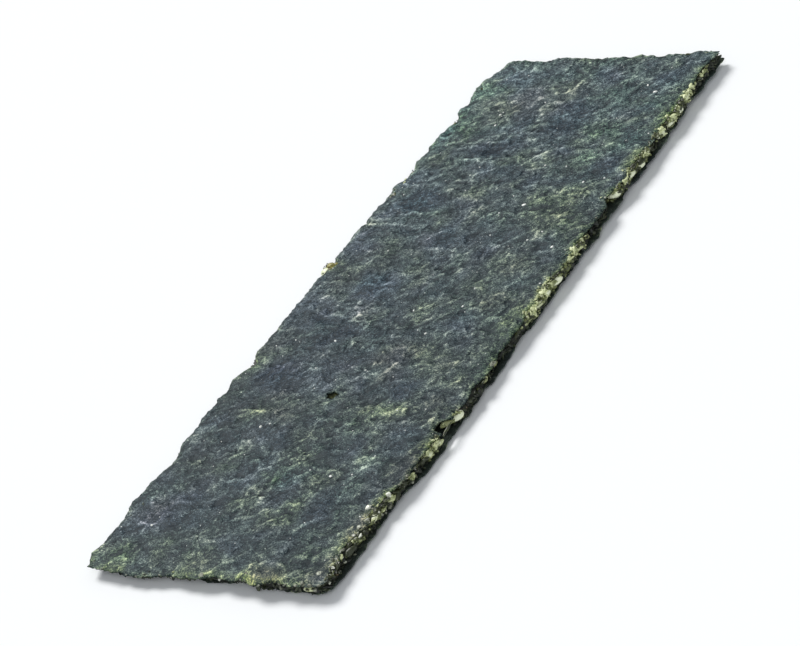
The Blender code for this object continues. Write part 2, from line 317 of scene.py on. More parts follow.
def ridged(warp, turn, long, wide, seed, sharp, power):
    """A net of thin crests, which come and go along their way."""
    crest = np.clip(1.0 - sharp * np.abs(perlin(*turned(*warp, turn, long, wide), seed)), 0.0, 1.0) ** power
    return crest * smooth_map(-0.25, 0.35, perlin(warp[0] / (1.2 * wide), warp[1] / (1.2 * wide), seed + 10))


def threads(strokes, sigma):
    """Curved lines drawn with a soft round brush, as (x, y, heading, length, bend, force). About 1 along a line."""
    x, y, heading, size, bend, force = (np.array(v, dtype=float) for v in zip(*strokes))
    heading = np.radians(heading)
    ink = np.zeros_like(PX)
    wobble = np.random.default_rng(3).standard_normal((4, len(x)))
    x, y = x - 0.5 * size * np.cos(heading), y - 0.5 * size * np.sin(heading)
    heading = heading - 0.5 * bend * size
    steps = 80
    for k in range(steps):
        t = k / (steps - 1.0)
        pace = size / steps
        way = heading + 0.30 * wobble[0] * np.sin(9 * t + 3 * wobble[1]) + 0.22 * wobble[2] * np.sin(21 * t + 5 * wobble[3])
        x, y = x + np.cos(way) * pace, y + np.sin(way) * pace
        heading = heading + bend * pace
        i, j = np.clip((x + 20.0) / GRID, 1, PX.shape[1] - 3), np.clip((y + 50.0) / GRID, 1, PX.shape[0] - 3)
        i0, j0 = i.astype(int), j.astype(int)
        fi, fj = i - i0, j - j0
        drop = force * min(1.0, 2.2 * math.sin(math.pi * t)) * (0.75 + 0.25 * np.sin(13 * t + 6 * wobble[1])) * pace
        for dj, di, share in ((0, 0, (1 - fi) * (1 - fj)), (0, 1, fi * (1 - fj)), (1, 0, (1 - fi) * fj), (1, 1, fi * fj)):
            np.add.at(ink, (j0 + dj, i0 + di), drop * share)
    return blurred(ink, sigma) * math.sqrt(2.0 * math.pi) * sigma / GRID**2


def strewn(rng, count, long, bend, lean, spread):
    """Strokes for threads: about a third of them lie across the crisp, the others lean."""
    heading = np.where(rng.random(count) < 0.35, rng.normal(3.0, 12.0, count), lean + spread * rng.standard_normal(count))
    return list(zip(
        rng.uniform(-18.5, 18.5, count), rng.uniform(-48.5, 48.5, count), heading,
        long * np.exp(0.4 * rng.standard_normal(count)), bend * rng.standard_normal(count), 0.9 * rng.uniform(0.3, 1.0, count),
    ))


# What stands out on the upper face. Patches: x, y, half size along and across, turn, how rough and how green (or,
# below zero, how smooth and how blue).
UPPER_PATCHES = (
    (-1.5, -35.6, 3.0, 2.2, 60, 0.7, 1.0), (4.6, -38.2, 3.0, 1.8, 40, 0.6, 0.8), (0.5, -29.6, 2.2, 1.4, 20, 0.5, 0.6),
    (7.5, -21.0, 3.4, 1.6, 10, 0.7, 1.1), (-11.0, -22.9, 3.2, 1.1, 0, 0.6, 0.9), (-14.0, -45.6, 2.6, 1.8, -30, 0.7, 1.2),
    (6.0, -32.8, 2.6, 1.4, 0, 0.4, 0.8), (-8.2, -29.2, 2.4, 2.0, 60, 0.6, 0.2), (-2.6, -45.3, 3.2, 1.8, 10, 0.6, 0.5),
    (-1.2, -19.6, 2.6, 1.6, 60, 0.5, 0.7), (-2.2, 2.8, 3.4, 1.6, -45, 0.5, 1.0), (11.0, 18.0, 3.0, 2.4, 40, 0.6, 0.7),
    (11.2, 12.6, 2.6, 2.4, 0, 0.5, 0.7), (9.0, 7.0, 2.6, 3.6, 10, 0.5, 0.6), (-9.5, 35.5, 4.0, 2.2, -45, 0.6, 0.4),
    (-1.8, 39.5, 2.4, 4.0, 0, 0.6, 0.1), (0.6, 26.0, 4.0, 1.8, -10, 0.5, 0.7), (9.0, 31.5, 4.5, 2.2, 30, 0.4, 0.6),
    (-3.0, 19.0, 4.5, 1.6, 0, 0.4, 0.3), (4.0, 24.0, 3.0, 2.0, -40, 0.3, 0.5), (-15.5, -13.5, 3.0, 1.8, -40, 0.7, 0.5),
    (-6.0, -5.5, 5.5, 1.4, -12, 0.6, 0.0), (1.5, -14.5, 4.0, 1.6, 10, 0.5, 0.0), (6.0, -10.5, 2.6, 2.0, -30, 0.5, 0.4),
    (13.5, -33.0, 1.4, 5.0, 0, 0.3, 0.0), (-15.0, 14.0, 2.5, 2.0, 0, 0.5, 0.6), (-12.5, 2.0, 3.0, 1.6, 30, 0.3, 0.4),
    (12.5, -2.0, 2.5, 4.0, 0, 0.3, 0.5), (-3.5, -24.5, 1.8, 3.0, -10, -0.7, -0.5), (-11.5, -16.6, 3.4, 2.2, 10, -0.9, -0.5),
    (5.2, -28.0, 2.8, 2.0, 30, -0.8, -0.4), (8.6, -36.4, 2.2, 2.4, 0, -0.9, -0.5), (2.6, -43.0, 3.4, 1.6, 0, -0.9, -0.4),
    (-8.9, -38.6, 3.4, 2.6, 40, -0.9, -0.6), (-11.8, -33.8, 3.0, 1.8, 0, -0.7, -0.4), (7.6, -17.2, 2.4, 1.6, 0, -0.7, -0.6),
    (-11.0, -8.2, 5.5, 3.0, -25, -0.8, -0.6), (-8.5, 1.0, 4.5, 2.4, 0, -0.6, -1.0), (1.0, -0.5, 3.0, 2.0, 0, -0.4, -0.3),
    (6.0, 9.5, 2.8, 3.0, 40, -0.4, -0.4), (-3.5, 10.5, 5.0, 3.0, 0, -0.3, -0.6), (-5.0, 16.5, 4.0, 1.4, 0, -0.5, -0.4),
    (-11.5, 17.0, 3.6, 2.4, 20, -0.5, -1.1), (-1.0, 23.0, 2.4, 1.4, -40, -0.8, -0.5), (2.0, 33.0, 3.6, 3.6, 0, -0.7, -1.2),
    (-6.0, 28.0, 3.4, 2.4, 0, -0.4, -0.8), (12.0, 21.5, 2.0, 3.0, -30, -0.6, -0.3), (13.0, 41.5, 2.6, 1.8, 20, -0.5, -0.5),
    (-9.0, 43.0, 4.5, 2.0, 0, -0.4, -0.2), (8.5, 41.0, 3.0, 3.0, 0, -0.4, 0.1), (-3.0, -12.5, 3.0, 1.6, 0, -0.4, -0.6),
)
# The longest creases: x, y, heading, length, bend, force.
UPPER_STROKES = (
    (-0.7, -25.0, 77, 7.0, 0.03, 1.0), (3.0, -32.2, 65, 2.6, -0.35, 1.1), (6.2, -30.8, 2, 4.2, 0.05, 1.1),
    (8.9, -29.5, 55, 2.8, -0.3, 1.0), (10.8, -28.6, 4, 3.2, -0.1, 1.0), (8.8, -39.2, 45, 4.6, -0.10, 1.2), (6.2, -45.8, 36, 3.0, -0.36, 1.3), (9.6, -45.7, -28, 3.0, -0.36, 1.3),
    (0.2, -38.6, 28, 4.6, 0.12, 1.1), (-3.0, -31.3, 2, 6.4, 0.06, 0.9), (6.4, -24.8, 3, 5.4, 0.0, 0.8),
    (-11.0, -22.7, 2, 5.6, 0.02, 0.9), (-5.2, -28.4, -38, 3.0, 0.1, 0.8), (-12.4, -41.9, 50, 2.6, -0.8, 1.0),
    (-15.0, -38.2, -52, 2.8, 0.1, 0.9), (-11.0, -33.2, 20, 4.4, -0.05, 0.7), (14.5, -22.4, 62, 2.8, 0.1, 1.3),
    (-14.5, -28.2, 8, 5.0, 0.0, 0.6), (-15.8, -25.9, 10, 2.2, 0.0, 0.9), (-13.0, 12.0, 0, 8.6, 0.0, 0.8),
    (7.3, 9.6, 38, 6.4, 0.0, 0.8), (1.2, 6.4, 50, 6.0, 0.05, 0.8), (-9.0, -5.6, -6, 9.0, 0.02, 0.9),
    (-14.5, -8.0, 8, 5.0, 0.0, 0.8), (-11.0, 29.4, 0, 12.5, 0.0, 0.8), (-1.8, 31.0, -6, 4.0, 0.0, 0.9),
    (-6.4, 22.5, 32, 5.5, 0.08, 0.8), (2.2, 25.8, 35, 4.0, -0.2, 0.8), (-0.5, 41.2, 72, 3.4, -0.1, 1.1),
    (9.5, 40.5, 50, 5.0, -0.15, 0.9), (6.4, 36.5, 42, 6.5, 0.1, 0.7), (-13.8, 43.8, 20, 4.8, 0.1, 0.9),
    (4.3, 14.4, 2, 4.6, 0.0, 0.8), (-10.5, -2.2, 30, 4.0, 0.1, 0.7), (-7.5, 0.6, 5, 5.5, -0.05, 0.7),
    (12.0, 2.0, 70, 5.0, 0.1, 0.6), (7.8, 2.4, 76, 4.8, -0.05, 0.9), (9.6, -13.2, 8, 6.2, 0.05, 0.8),
    (4.2, -14.5, 62, 4.2, -0.25, 0.9), (0.8, -8.6, 0, 3.4, 0.0, 1.0), (-4.8, -9.6, -62, 2.6, 0.0, 0.9),
    (-12.6, -9.2, 20, 3.4, 0.0, 0.7), (13.2, -16.2, 35, 4.6, 0.2, 0.8), (-9.5, 14.5, 2, 5.0, 0.0, 0.6),
    (9.8, -6.4, -50, 4.6, 0.1, 0.7), (-2.0, 14.8, 62, 4.0, 0.1, 0.6), (-15.0, 20.3, -10, 4.0, 0.0, 0.7),
)


# Where the laver is more brown, or below zero more green: x, y, half size across and along, how much.
UPPER_BROWNS = (
    (2.2, -12.2, 2.6, 1.8, 2.6), (4.8, -15.2, 2.0, 1.6, 1.6), (-2.0, -13.8, 2.2, 1.6, 1.4), (-16.0, -11.0, 1.8, 2.6, 1.8),
    (-9.2, -19.2, 2.4, 1.6, 1.6), (-11.0, -14.5, 2.6, 1.6, 1.4), (13.6, -19.4, 2.2, 1.6, 1.5), (-7.5, -22.5, 2.0, 1.6, 1.4),
    (-13.2, -39.0, 2.6, 2.0, 1.4), (-8.0, 37.5, 4.5, 3.0, 1.8), (15.6, -29.0, 1.4, 3.0, 1.8), (15.6, -38.0, 1.4, 3.0, 2.4),
    (15.2, -45.0, 1.6, 2.4, 2.2), (-14.5, 40.8, 2.4, 1.8, -1.8), (13.6, 28.0, 2.2, 2.4, -1.8), (8.8, 31.0, 3.0, 2.4, -1.8),
    (-15.0, 33.2, 1.8, 2.2, -1.6), (8.6, 25.4, 2.4, 1.8, -1.4), (6.8, 39.8, 2.4, 2.0, -1.4), (1.5, -33.2, 2.4, 2.0, -1.4),
    (13.4, 36.6, 2.0, 2.4, -1.4), (-11.2, 31.6, 2.2, 1.6, -1.2), (8.4, -46.9, 2.6, 1.2, 2.2),
)


# Broad zones of the upper face: x, y, half size across and along, how much lighter, yellower and redder.
UPPER_ZONES = (
    (-0.5, -33.5, 2.0, 1.8, 0.09, 0.8, -1.0), (6.8, -7.0, 2.2, 1.8, 0.08, 0.0, 0.0), (-10.2, 32.0, 2.2, 1.8, 0.07, 0.0, 0.0),
    (13.8, -9.5, 1.8, 2.2, 0.06, 0.0, 0.0), (14.2, 15.2, 1.8, 2.2, 0.06, 0.0, 0.0), (10.2, 39.8, 2.0, 2.0, 0.05, 0.0, 0.0),
    (-15.8, -15.5, 1.8, 2.2, 0.09, 0.3, 0.0), (-13.6, -23.4, 2.4, 2.4, -0.08, -1.1, 0.0), (3.5, 26.8, 2.6, 2.0, -0.04, -1.2, 0.0),
    (7.5, 27.2, 2.0, 2.0, 0.0, -0.9, 0.0), (-14.6, 30.0, 2.2, 3.2, -0.03, -1.0, -1.2), (-2.0, 36.2, 2.6, 2.4, -0.03, -0.9, 1.4),
    (-1.0, 40.0, 2.4, 2.2, 0.0, 0.0, 1.8), (-5.0, 40.8, 2.4, 2.0, 0.0, 0.0, 1.2), (-12.8, 39.2, 2.2, 2.2, 0.0, -0.8, 0.0),
    (-0.8, -24.5, 2.0, 2.0, 0.0, -0.7, 0.0), (-14.0, -30.8, 2.2, 2.0, -0.04, -0.7, 1.2), (-5.5, 18.2, 2.2, 1.8, 0.0, -0.6, 0.0),
    (-8.5, 14.8, 2.4, 2.0, 0.0, -0.6, -0.6), (-12.5, 16.5, 2.2, 2.0, 0.0, 0.0, -1.2), (-12.5, -12.8, 2.4, 2.0, 0.0, 0.9, 0.0),
    (-16.2, -9.8, 1.8, 2.2, 0.0, 0.9, 0.0), (-5.5, -29.2, 2.2, 1.8, 0.0, 0.8, 0.0), (14.6, -21.0, 1.8, 3.0, 0.0, 0.8, 0.4),
    (6.8, -46.8, 2.6, 1.2, 0.08, 0.6, 0.0), (-14.2, -46.6, 3.0, 1.4, -0.03, 0.0, -1.2),
    (-6.2, -4.5, 2.4, 2.0, 0.0, 0.0, 1.0), (4.0, -20.0, 2.2, 2.0, 0.0, 0.0, 1.0), (-8.0, -27.5, 2.2, 2.0, 0.0, 0.0, 0.9),
    (11.8, -2.4, 3.6, 2.0, 0.0, 0.0, 0.9), (-16.6, 34.0, 1.2, 9.0, -0.05, 0.0, -1.2), (14.0, -33.5, 1.8, 2.4, 0.0, 0.0, 1.0),
    (0.0, -26.0, 3.4, 5.0, -0.06, 0.0, 0.0), (-14.5, -12.0, 3.0, 5.0, -0.07, 0.0, 0.0), (-13.5, -28.0, 4.0, 6.0, -0.04, 0.0, 0.0),
    (-2.0, 40.0, 6.0, 5.0, -0.03, 0.0, 0.0), (4.0, -38.0, 4.0, 3.5, 0.03, 0.0, 0.0), (6.0, -6.0, 3.5, 4.5, 0.02, 0.0, 0.0),
    (4.0, 17.0, 2.2, 1.8, 0.06, 0.0, 0.0), (-6.2, 30.5, 2.0, 1.6, 0.0, 0.9, 0.0), (-13.5, -38.8, 2.0, 1.8, 0.0, 0.9, 0.6),
    (14.4, -30.5, 1.6, 2.0, 0.0, 0.8, 0.0), (-15.2, 14.5, 1.6, 2.0, 0.0, -0.7, 0.0), (-6.5, 20.5, 2.0, 1.6, 0.0, -0.6, 0.0),
    (8.8, -28.0, 2.0, 1.6, 0.0, -0.6, 0.0), (-3.8, 23.5, 2.0, 1.6, 0.0, -0.6, 0.0), (10.5, 33.2, 2.0, 2.0, 0.0, 0.0, 1.4),
    (-4.5, -42.5, 2.0, 1.8, 0.0, 0.0, 1.1), (5.8, -11.0, 2.0, 1.8, 0.0, 0.0, 0.9), (-6.0, 9.8, 2.0, 1.8, 0.0, 0.0, 1.1),
    (-8.5, 1.2, 2.0, 1.8, 0.0, 0.0, -1.2), (9.0, -44.0, 3.0, 1.4, 0.03, 0.0, 0.0), (5.0, -41.5, 3.0, 2.2, 0.03, 0.0, 0.0),
    (-14.2, 40.0, 2.8, 6.5, 0.08, 0.0, 0.0), (0.0, 21.0, 3.4, 9.0, -0.040, 0.0, 0.0), (-7.0, -9.0, 3.4, 8.0, -0.045, 0.0, 0.0),
    (10.0, -8.0, 5.0, 8.0, 0.035, 0.0, 0.0), (-8.0, -35.0, 8.0, 7.0, -0.015, 0.0, 0.0), (14.0, -28.0, 2.5, 10.0, -0.035, 0.0, 0.0),
    (-14.5, 40.0, 2.4, 5.0, 0.025, 0.0, 0.0), (-0.6, -46.6, 2.6, 0.9, 0.10, 0.3, 0.0), (3.2, -18.0, 1.8, 1.6, 0.07, 0.0, 0.0),
    (-0.2, -32.0, 1.8, 1.6, 0.05, 0.3, 0.0), (-16.3, -21.0, 1.2, 1.8, 0.07, 0.0, 0.0), (-16.3, -15.8, 1.2, 1.6, 0.06, 0.0, 0.0),
    (2.8, 26.5, 1.8, 1.6, -0.06, 0.0, 0.0), (-16.6, 17.8, 0.9, 2.0, -0.10, 0.0, -0.5), (-16.4, 31.0, 0.9, 6.0, -0.06, 0.0, 0.0),
    (-12.0, -24.0, 5.0, 6.0, -0.015, 0.0, 0.0), (14.5, -24.0, 2.4, 6.0, -0.02, 0.0, 0.0), (-5.0, -8.0, 4.0, 6.0, -0.012, 0.0, 0.0),
    (16.0, 24.8, 1.4, 2.0, 0.08, 0.9, 0.0), (16.0, 18.6, 1.4, 1.6, 0.08, 0.6, 0.0), (15.8, 46.4, 1.6, 1.2, 0.10, 0.7, 0.0),
    (15.8, -15.6, 1.2, 2.2, -0.07, 0.0, 0.6), (-16.3, -45.0, 1.4, 2.0, 0.0, -1.0, 0.0), (-0.8, -33.0, 1.8, 1.6, 0.0, 0.5, 0.0),
    (15.2, -4.8, 1.4, 1.8, 0.0, 0.9, 0.0), (13.2, 32.5, 1.6, 1.8, 0.0, 0.7, 0.0), (-1.2, 4.8, 1.8, 1.6, 0.0, 0.7, 0.0),
    (13.5, -13.2, 1.6, 1.8, 0.0, -0.6, 0.0), (13.2, -42.0, 1.8, 2.0, 0.0, -0.6, 0.0), (-8.0, -5.2, 1.8, 1.8, 0.0, -0.6, 0.0),
    (-6.5, 40.0, 3.2, 6.5, -0.025, 0.0, 0.0), (0.5, -24.0, 3.0, 7.0, -0.02, 0.0, 0.0), (0.0, -8.0, 3.0, 7.0, -0.015, 0.0, 0.0),
    (7.0, -43.0, 3.5, 4.0, 0.02, 0.0, 0.0), (-14.2, -25.5, 2.0, 2.0, 0.0, -0.8, 0.0), (4.8, 27.0, 2.0, 2.0, 0.0, -0.8, 0.0),
    (-16.5, -15.8, 1.4, 1.8, 0.10, 0.0, 0.0), (-0.5, -33.2, 1.8, 1.6, 0.06, 0.5, 0.0),
    (6.8, -7.0, 2.0, 1.8, 0.06, 0.0, 0.0), (-10.2, 31.8, 2.0, 1.8, 0.05, 0.0, 0.0), (13.8, -10.0, 1.8, 2.0, 0.05, 0.0, 0.0),
    (-14.0, -25.0, 3.4, 8.0, -0.03, 0.0, 0.0), (-14.0, 5.0, 3.0, 30.0, -0.02, 0.0, 0.0), (4.5, -40.0, 3.5, 7.0, 0.025, 0.0, 0.0),
)


def strewn_patches(seed):
    rng = np.random.default_rng(seed)
    return [
        (rng.uniform(-16, 16), rng.uniform(-46, 46), rng.uniform(2, 4.5), rng.uniform(1.4, 2.6), rng.uniform(-40, 60), side * rng.uniform(0.4, 0.9), side * rng.uniform(0.2, 1.0))
        for side in (1, -1) for _ in range(26)
    ]


def relief(seed, patches, strokes, browns):
    """The crinkle of one face of a sheet in millimetres, with the maps that colour it."""
    rng = np.random.default_rng(seed)
    warp = warped(seed + 1, 0.7, 0.30)
    wx, wy = warp
    rough, green = np.zeros_like(PX), np.zeros_like(PX)
    px, py = warped(seed + 61, 0.9, 0.4)
    for x, y, a, b, turn, roughness, greenness in patches:
        u, v = turned(px - x, py - y, turn, a, b)
        w = np.exp(-1.1 * (u * u + v * v) ** 1.5)
        rough += roughness * w
        green += greenness * w
    rough = smooth_map(-0.75, 0.85, rough + 0.55 * perlin(wx / 4.0, wy / 4.0, seed + 5) + 0.40 * perlin(wx / 1.9, wy / 1.9, seed + 6))
    force = 0.45 + 0.90 * rough
    net = np.maximum(ridged(warp, 50, 5.5, 2.6, seed + 21, 4.0, 1.5), ridged(warp, 5, 5.0, 2.2, seed + 22, 4.5, 1.5))
    small_net = np.maximum(ridged(warp, 45, 2.8, 1.4, seed + 23, 3.5, 1.4), ridged(warp, -5, 2.6, 1.3, seed + 24, 3.5, 1.4))
    fine_net = ridged(warp, 38, 1.5, 0.75, seed + 25, 2.8, 1.3)
    mesh = ridged(warp, 30, 0.8, 0.42, seed + 26, 2.2, 1.0)
    long_creases = np.tanh(1.2 * threads(strokes, 0.115))
    creases = np.tanh(1.2 * threads(strewn(rng, 170, 4.4, 0.16, 46, 24), 0.115))
    short_creases = np.tanh(threads(strewn(rng, 900, 2.4, 0.4, 42, 30), 0.13))
    nibs = np.tanh(threads(strewn(rng, 3600, 0.9, 1.2, 36, 50), 0.12))
    shaded_dents = np.tanh(threads(strewn(rng, 1300, 1.7, 0.5, 42, 30), 0.16))
    shaded_valleys = np.tanh(threads(strewn(rng, 170, 4.0, 0.15, 45, 25), 0.30))
    blobs, specks = perlin(wx / 0.95, wy / 0.95, seed + 7), perlin(wx / 0.5, wy / 0.5, seed + 8)
    which = perlin(PX / 5.0, PY / 5.0, seed + 43)
    folds = (
        (1 - 2.0 * np.abs(perlin(*turned(wx, wy, 47, 7.0, 2.0), seed + 41))) * smooth_map(-0.5, 0.3, which)
        + 0.7 * (1 - 2.0 * np.abs(perlin(*turned(wx, wy, 20, 5.0, 1.6), seed + 42))) * smooth_map(-0.3, 0.5, -which)
    )
    h = (
        0.08 * net + 0.07 * small_net + force * (0.06 * fine_net + 0.05 * mesh) + 0.09 * long_creases + 0.07 * creases
        + force * (0.05 * short_creases + 0.04 * nibs - 0.05 * shaded_dents + 0.02 * blobs + 0.02 * specks) - 0.05 * shaded_valleys
        + FOLDS * folds + 0.05 * perlin(*turned(wx, wy, 40, 2.6, 1.3), seed + 9) + 0.04 * perlin(wx / 3.4, wy / 3.4, seed + 10)
    )
    h = np.clip(h - blurred(h, 3.0), -0.17, 0.6)
    # Lighter along the crests, creases and nibs: partly the thin laver's own paler colour, partly a painted highlight
    # where they catch the light. Darker in the dents and valleys: painted shade.
    level = (
        0.13 * net + 0.13 * small_net + force * (0.20 * fine_net + 0.30 * mesh) + 0.68 * long_creases + 0.56 * creases
        + force * (0.46 * short_creases + 0.44 * nibs - 0.40 * shaded_dents + 0.04 * blobs + 0.27 * np.maximum(specks, -0.5))
        - 0.30 * shaded_valleys
    )
    level = level - 0.50 * blurred(level, 2.0)
    # Lighter towards the back end and darker towards the front: painted sheen, brighter where the face is seen at a
    # more grazing angle.
    level = (
        BASE_LEVEL + CONTRAST * (level - level.mean()) + 0.05 * (2.0 * rough - 1.0) + 0.07 * perlin(PX / 14.0, PY / 14.0, seed + 11)
        + 0.06 * perlin(PX / 6.0, PY / 6.0, seed + 12) + 0.08 * smooth_map(15.0, 45.0, PY)
        + 0.13 * smooth_map(-11.0, -17.5, PX) * smooth_map(-20.0, 35.0, PY) - 0.05 * smooth_map(0.0, -20.0, PY)
    )
    red = (
        0.08 + 0.6 * perlin(wx / 8.0, wy / 8.0, seed + 17) + 0.9 * perlin(wx / 3.0, wy / 3.0, seed + 18)
        + 0.25 * np.clip(green, -1, 1) - 0.8 * smooth_map(10.0, 45.0, PY)
    )
    for x, y, a, b, much in browns:
        red += much * np.exp(-1.1 * (((px - x) / a) ** 2 + ((py - y) / b) ** 2) ** 1.5)
    green = (
        0.85 * green + 1.1 * (rough - 0.5) + 0.9 * perlin(wx / 5.0, wy / 5.0, seed + 14) + 1.1 * perlin(wx / 10.0, wy / 10.0, seed + 15)
        + 0.65 * perlin(wx / 2.2, wy / 2.2, seed + 16) + 0.35 * smooth_map(4.0, 14.0, PX) - 0.1 * smooth_map(-10.0, 30.0, PY)
    )
    green = green + 0.5 * np.clip(level - 0.5, 0.0, 0.6) + 0.4 * long_creases
    return h, {"level": level, "green": blurred(green, 0.3), "red": blurred(red, 0.35)}


UNDER = sampled(under)
LOWEST = UNDER * sampled(tips)
DEPTH = sampled(depth) - 0.20 * smooth_map(-44.0, -47.5, PY) * smooth_map(2.0, -5.0, PX)
UPPER_LOW = UNDER + SHEET + CLEARANCE + DEPTH + CLEARANCE


# The seeds of the filling. All of them push the sheets out a little. Those near an edge show.

def scattered_seeds():
    rng = np.random.default_rng(5)
    kept = []
    while len(kept) < 330:
        x, y = rng.uniform(-17.2, 17.2), rng.uniform(-47.2, 47.2)
        if all((x - a) ** 2 + (y - b) ** 2 > 5.2 for a, b, _ in kept[-500:]):
            kept.append((x, y, rng.uniform(0.0, math.pi)))
    return kept


SEEDS = scattered_seeds()


def lumps(seeds, height):
    """The soft bumps that seeds make in a sheet."""
    total = np.zeros_like(PX)
    rng = np.random.default_rng(6)
    for x, y, turn in seeds:
        j0, j1 = np.searchsorted(GY, [y - 3.2, y + 3.2])
        i0, i1 = np.searchsorted(GX, [x - 3.2, x + 3.2])
        box = (slice(j0, j1), slice(i0, i1))
        u = ((PX[box] - x) * math.cos(turn) + (PY[box] - y) * math.sin(turn)) / 1.55
        v = (-(PX[box] - x) * math.sin(turn) + (PY[box] - y) * math.cos(turn)) / 1.0
        total[box] = np.maximum(total[box], height * rng.uniform(0.3, 1.0) * np.exp(-1.1 * (u * u + v * v)))
    return total


def new_object(name, vertices, faces, attributes=None, smooth_shaded=True):
    """A mesh object from arrays in millimetres, moved so that the crisp's middle is over the origin."""
    vertices = np.asarray(vertices, dtype=np.float64).copy()
    vertices[:, 0] += SHIFT[0]
    vertices[:, 1] += SHIFT[1]
    mesh = bpy.data.meshes.new(name)
    faces = np.asarray(faces, dtype=np.int32)
    mesh.vertices.add(len(vertices))
    mesh.vertices.foreach_set("co", (vertices * MM).astype(np.float32).ravel())
    mesh.loops.add(faces.size)
    mesh.loops.foreach_set("vertex_index", faces.ravel())
    mesh.polygons.add(len(faces))
    mesh.polygons.foreach_set("loop_start", np.arange(0, faces.size, faces.shape[1], dtype=np.int32))
    mesh.update(calc_edges=True)
    mesh.validate()
    for key, values in (attributes or {}).items():
        layer = mesh.attributes.new(key, "FLOAT", "POINT")
        layer.data.foreach_set("value", np.asarray(values, dtype=np.float32))
    if smooth_shaded:
        mesh.shade_smooth()
    obj = bpy.data.objects.new(name, mesh)
    bpy.context.scene.collection.objects.link(obj)
    return obj


def lay_uv(obj, places):
    layer = obj.data.uv_layers.new(name="OFBake")
    index = np.empty(len(obj.data.loops), dtype=np.int32)
    obj.data.loops.foreach_get("vertex_index", index)
    layer.data.foreach_set("uv", places[index].astype(np.float32).ravel())


def grid_inside(rim, step, margin, holes=(), jitter=0.0, seed=0):
    """Points of a jittered grid that lie inside a rim and at least margin from it."""
    ring = np.array(rim)
    nxt = np.roll(ring, -1, axis=0)
    rng = np.random.default_rng(seed)
    found = []
    tree = KDTree(len(rim))
    for k, p in enumerate(rim):
        tree.insert((p[0], p[1], 0.0), k)
    tree.balance()
    for row, y in enumerate(np.arange(-50.0, 50.0, step * 0.866)):
        hit = (ring[:, 1] > y) != (nxt[:, 1] > y)
        if not hit.any():
            continue
        a, b = ring[hit], nxt[hit]
        cuts = np.sort(a[:, 0] + (b[:, 0] - a[:, 0]) * (y - a[:, 1]) / (b[:, 1] - a[:, 1]))
        xs = np.arange(-20.0, 20.0, step) + 0.5 * step * (row % 2)
        for left, right in zip(cuts[::2], cuts[1::2]):
            inner = xs[(xs > left + margin * 0.6) & (xs < right - margin * 0.6)]
            found.append(np.column_stack([inner, np.full(len(inner), y)]))
    points = np.concatenate(found)
    points = points + jitter * step * rng.uniform(-1, 1, points.shape)
    near_edge = np.zeros(len(points), dtype=bool)
    core = (np.abs(points[:, 0]) < 13.5) & (np.abs(points[:, 1]) < 44.0)
    distance = np.full(len(points), 9.0)
    for k in np.nonzero(~core)[0]:
        distance[k] = tree.find((points[k, 0], points[k, 1], 0.0))[2]
    near_edge = distance < margin
    for cx, cy, a, b in holes:
        near_edge |= np.hypot((points[:, 0] - cx) / a, (points[:, 1] - cy) / b) < 1.0 + margin / min(a, b)
    return points[~near_edge], distance[~near_edge]


def triangulated(loops, points):
    """Triangles of the area between the first loop and the others, through the given points. The loops' points keep
    their numbers."""
    every = [p for loop in loops for p in loop] + [tuple(p) for p in points]
    edges, first = [], 0
    for loop in loops:
        edges += [(first + i, first + (i + 1) % len(loop)) for i in range(len(loop))]
        first += len(loop)
    flat, _, faces, origins, *_ = delaunay_2d_cdt([Vector(p) for p in every], edges, [], 1, 1e-7)
    flat = np.array([(p.x, p.y) for p in flat])
    faces = np.array([f for f in faces if len(f) == 3], dtype=np.int64)
    for loop in loops[1:]:
        ring = np.array(loop)
        nxt = np.roll(ring, -1, axis=0)
        centre = flat[faces].mean(axis=1)
        close = np.hypot(centre[:, 0] - ring[:, 0].mean(), centre[:, 1] - ring[:, 1].mean()) < 3.0
        gone = np.zeros(len(faces), dtype=bool)
        for k in np.nonzero(close)[0]:
            x, y = centre[k]
            hit = (ring[:, 1] > y) != (nxt[:, 1] > y)
            a, b = ring[hit], nxt[hit]
            gone[k] = np.sum(x < a[:, 0] + (b[:, 0] - a[:, 0]) * (y - a[:, 1]) / (b[:, 1] - a[:, 1])) % 2 == 1
        faces = faces[~gone]
    a, b, c = flat[faces[:, 0]], flat[faces[:, 1]], flat[faces[:, 2]]
    turn = (b[:, 0] - a[:, 0]) * (c[:, 1] - a[:, 1]) - (b[:, 1] - a[:, 1]) * (c[:, 0] - a[:, 0])
    faces[turn < 0] = faces[turn < 0][:, ::-1]
    return flat, faces


def border_of(faces):
    """Border edges of a set of triangles, each with its triangle on its left."""
    edges = np.concatenate([faces[:, [0, 1]], faces[:, [1, 2]], faces[:, [2, 0]]])
    known = {(int(a), int(b)) for a, b in edges}
    return [(a, b) for a, b in known if (b, a) not in known]


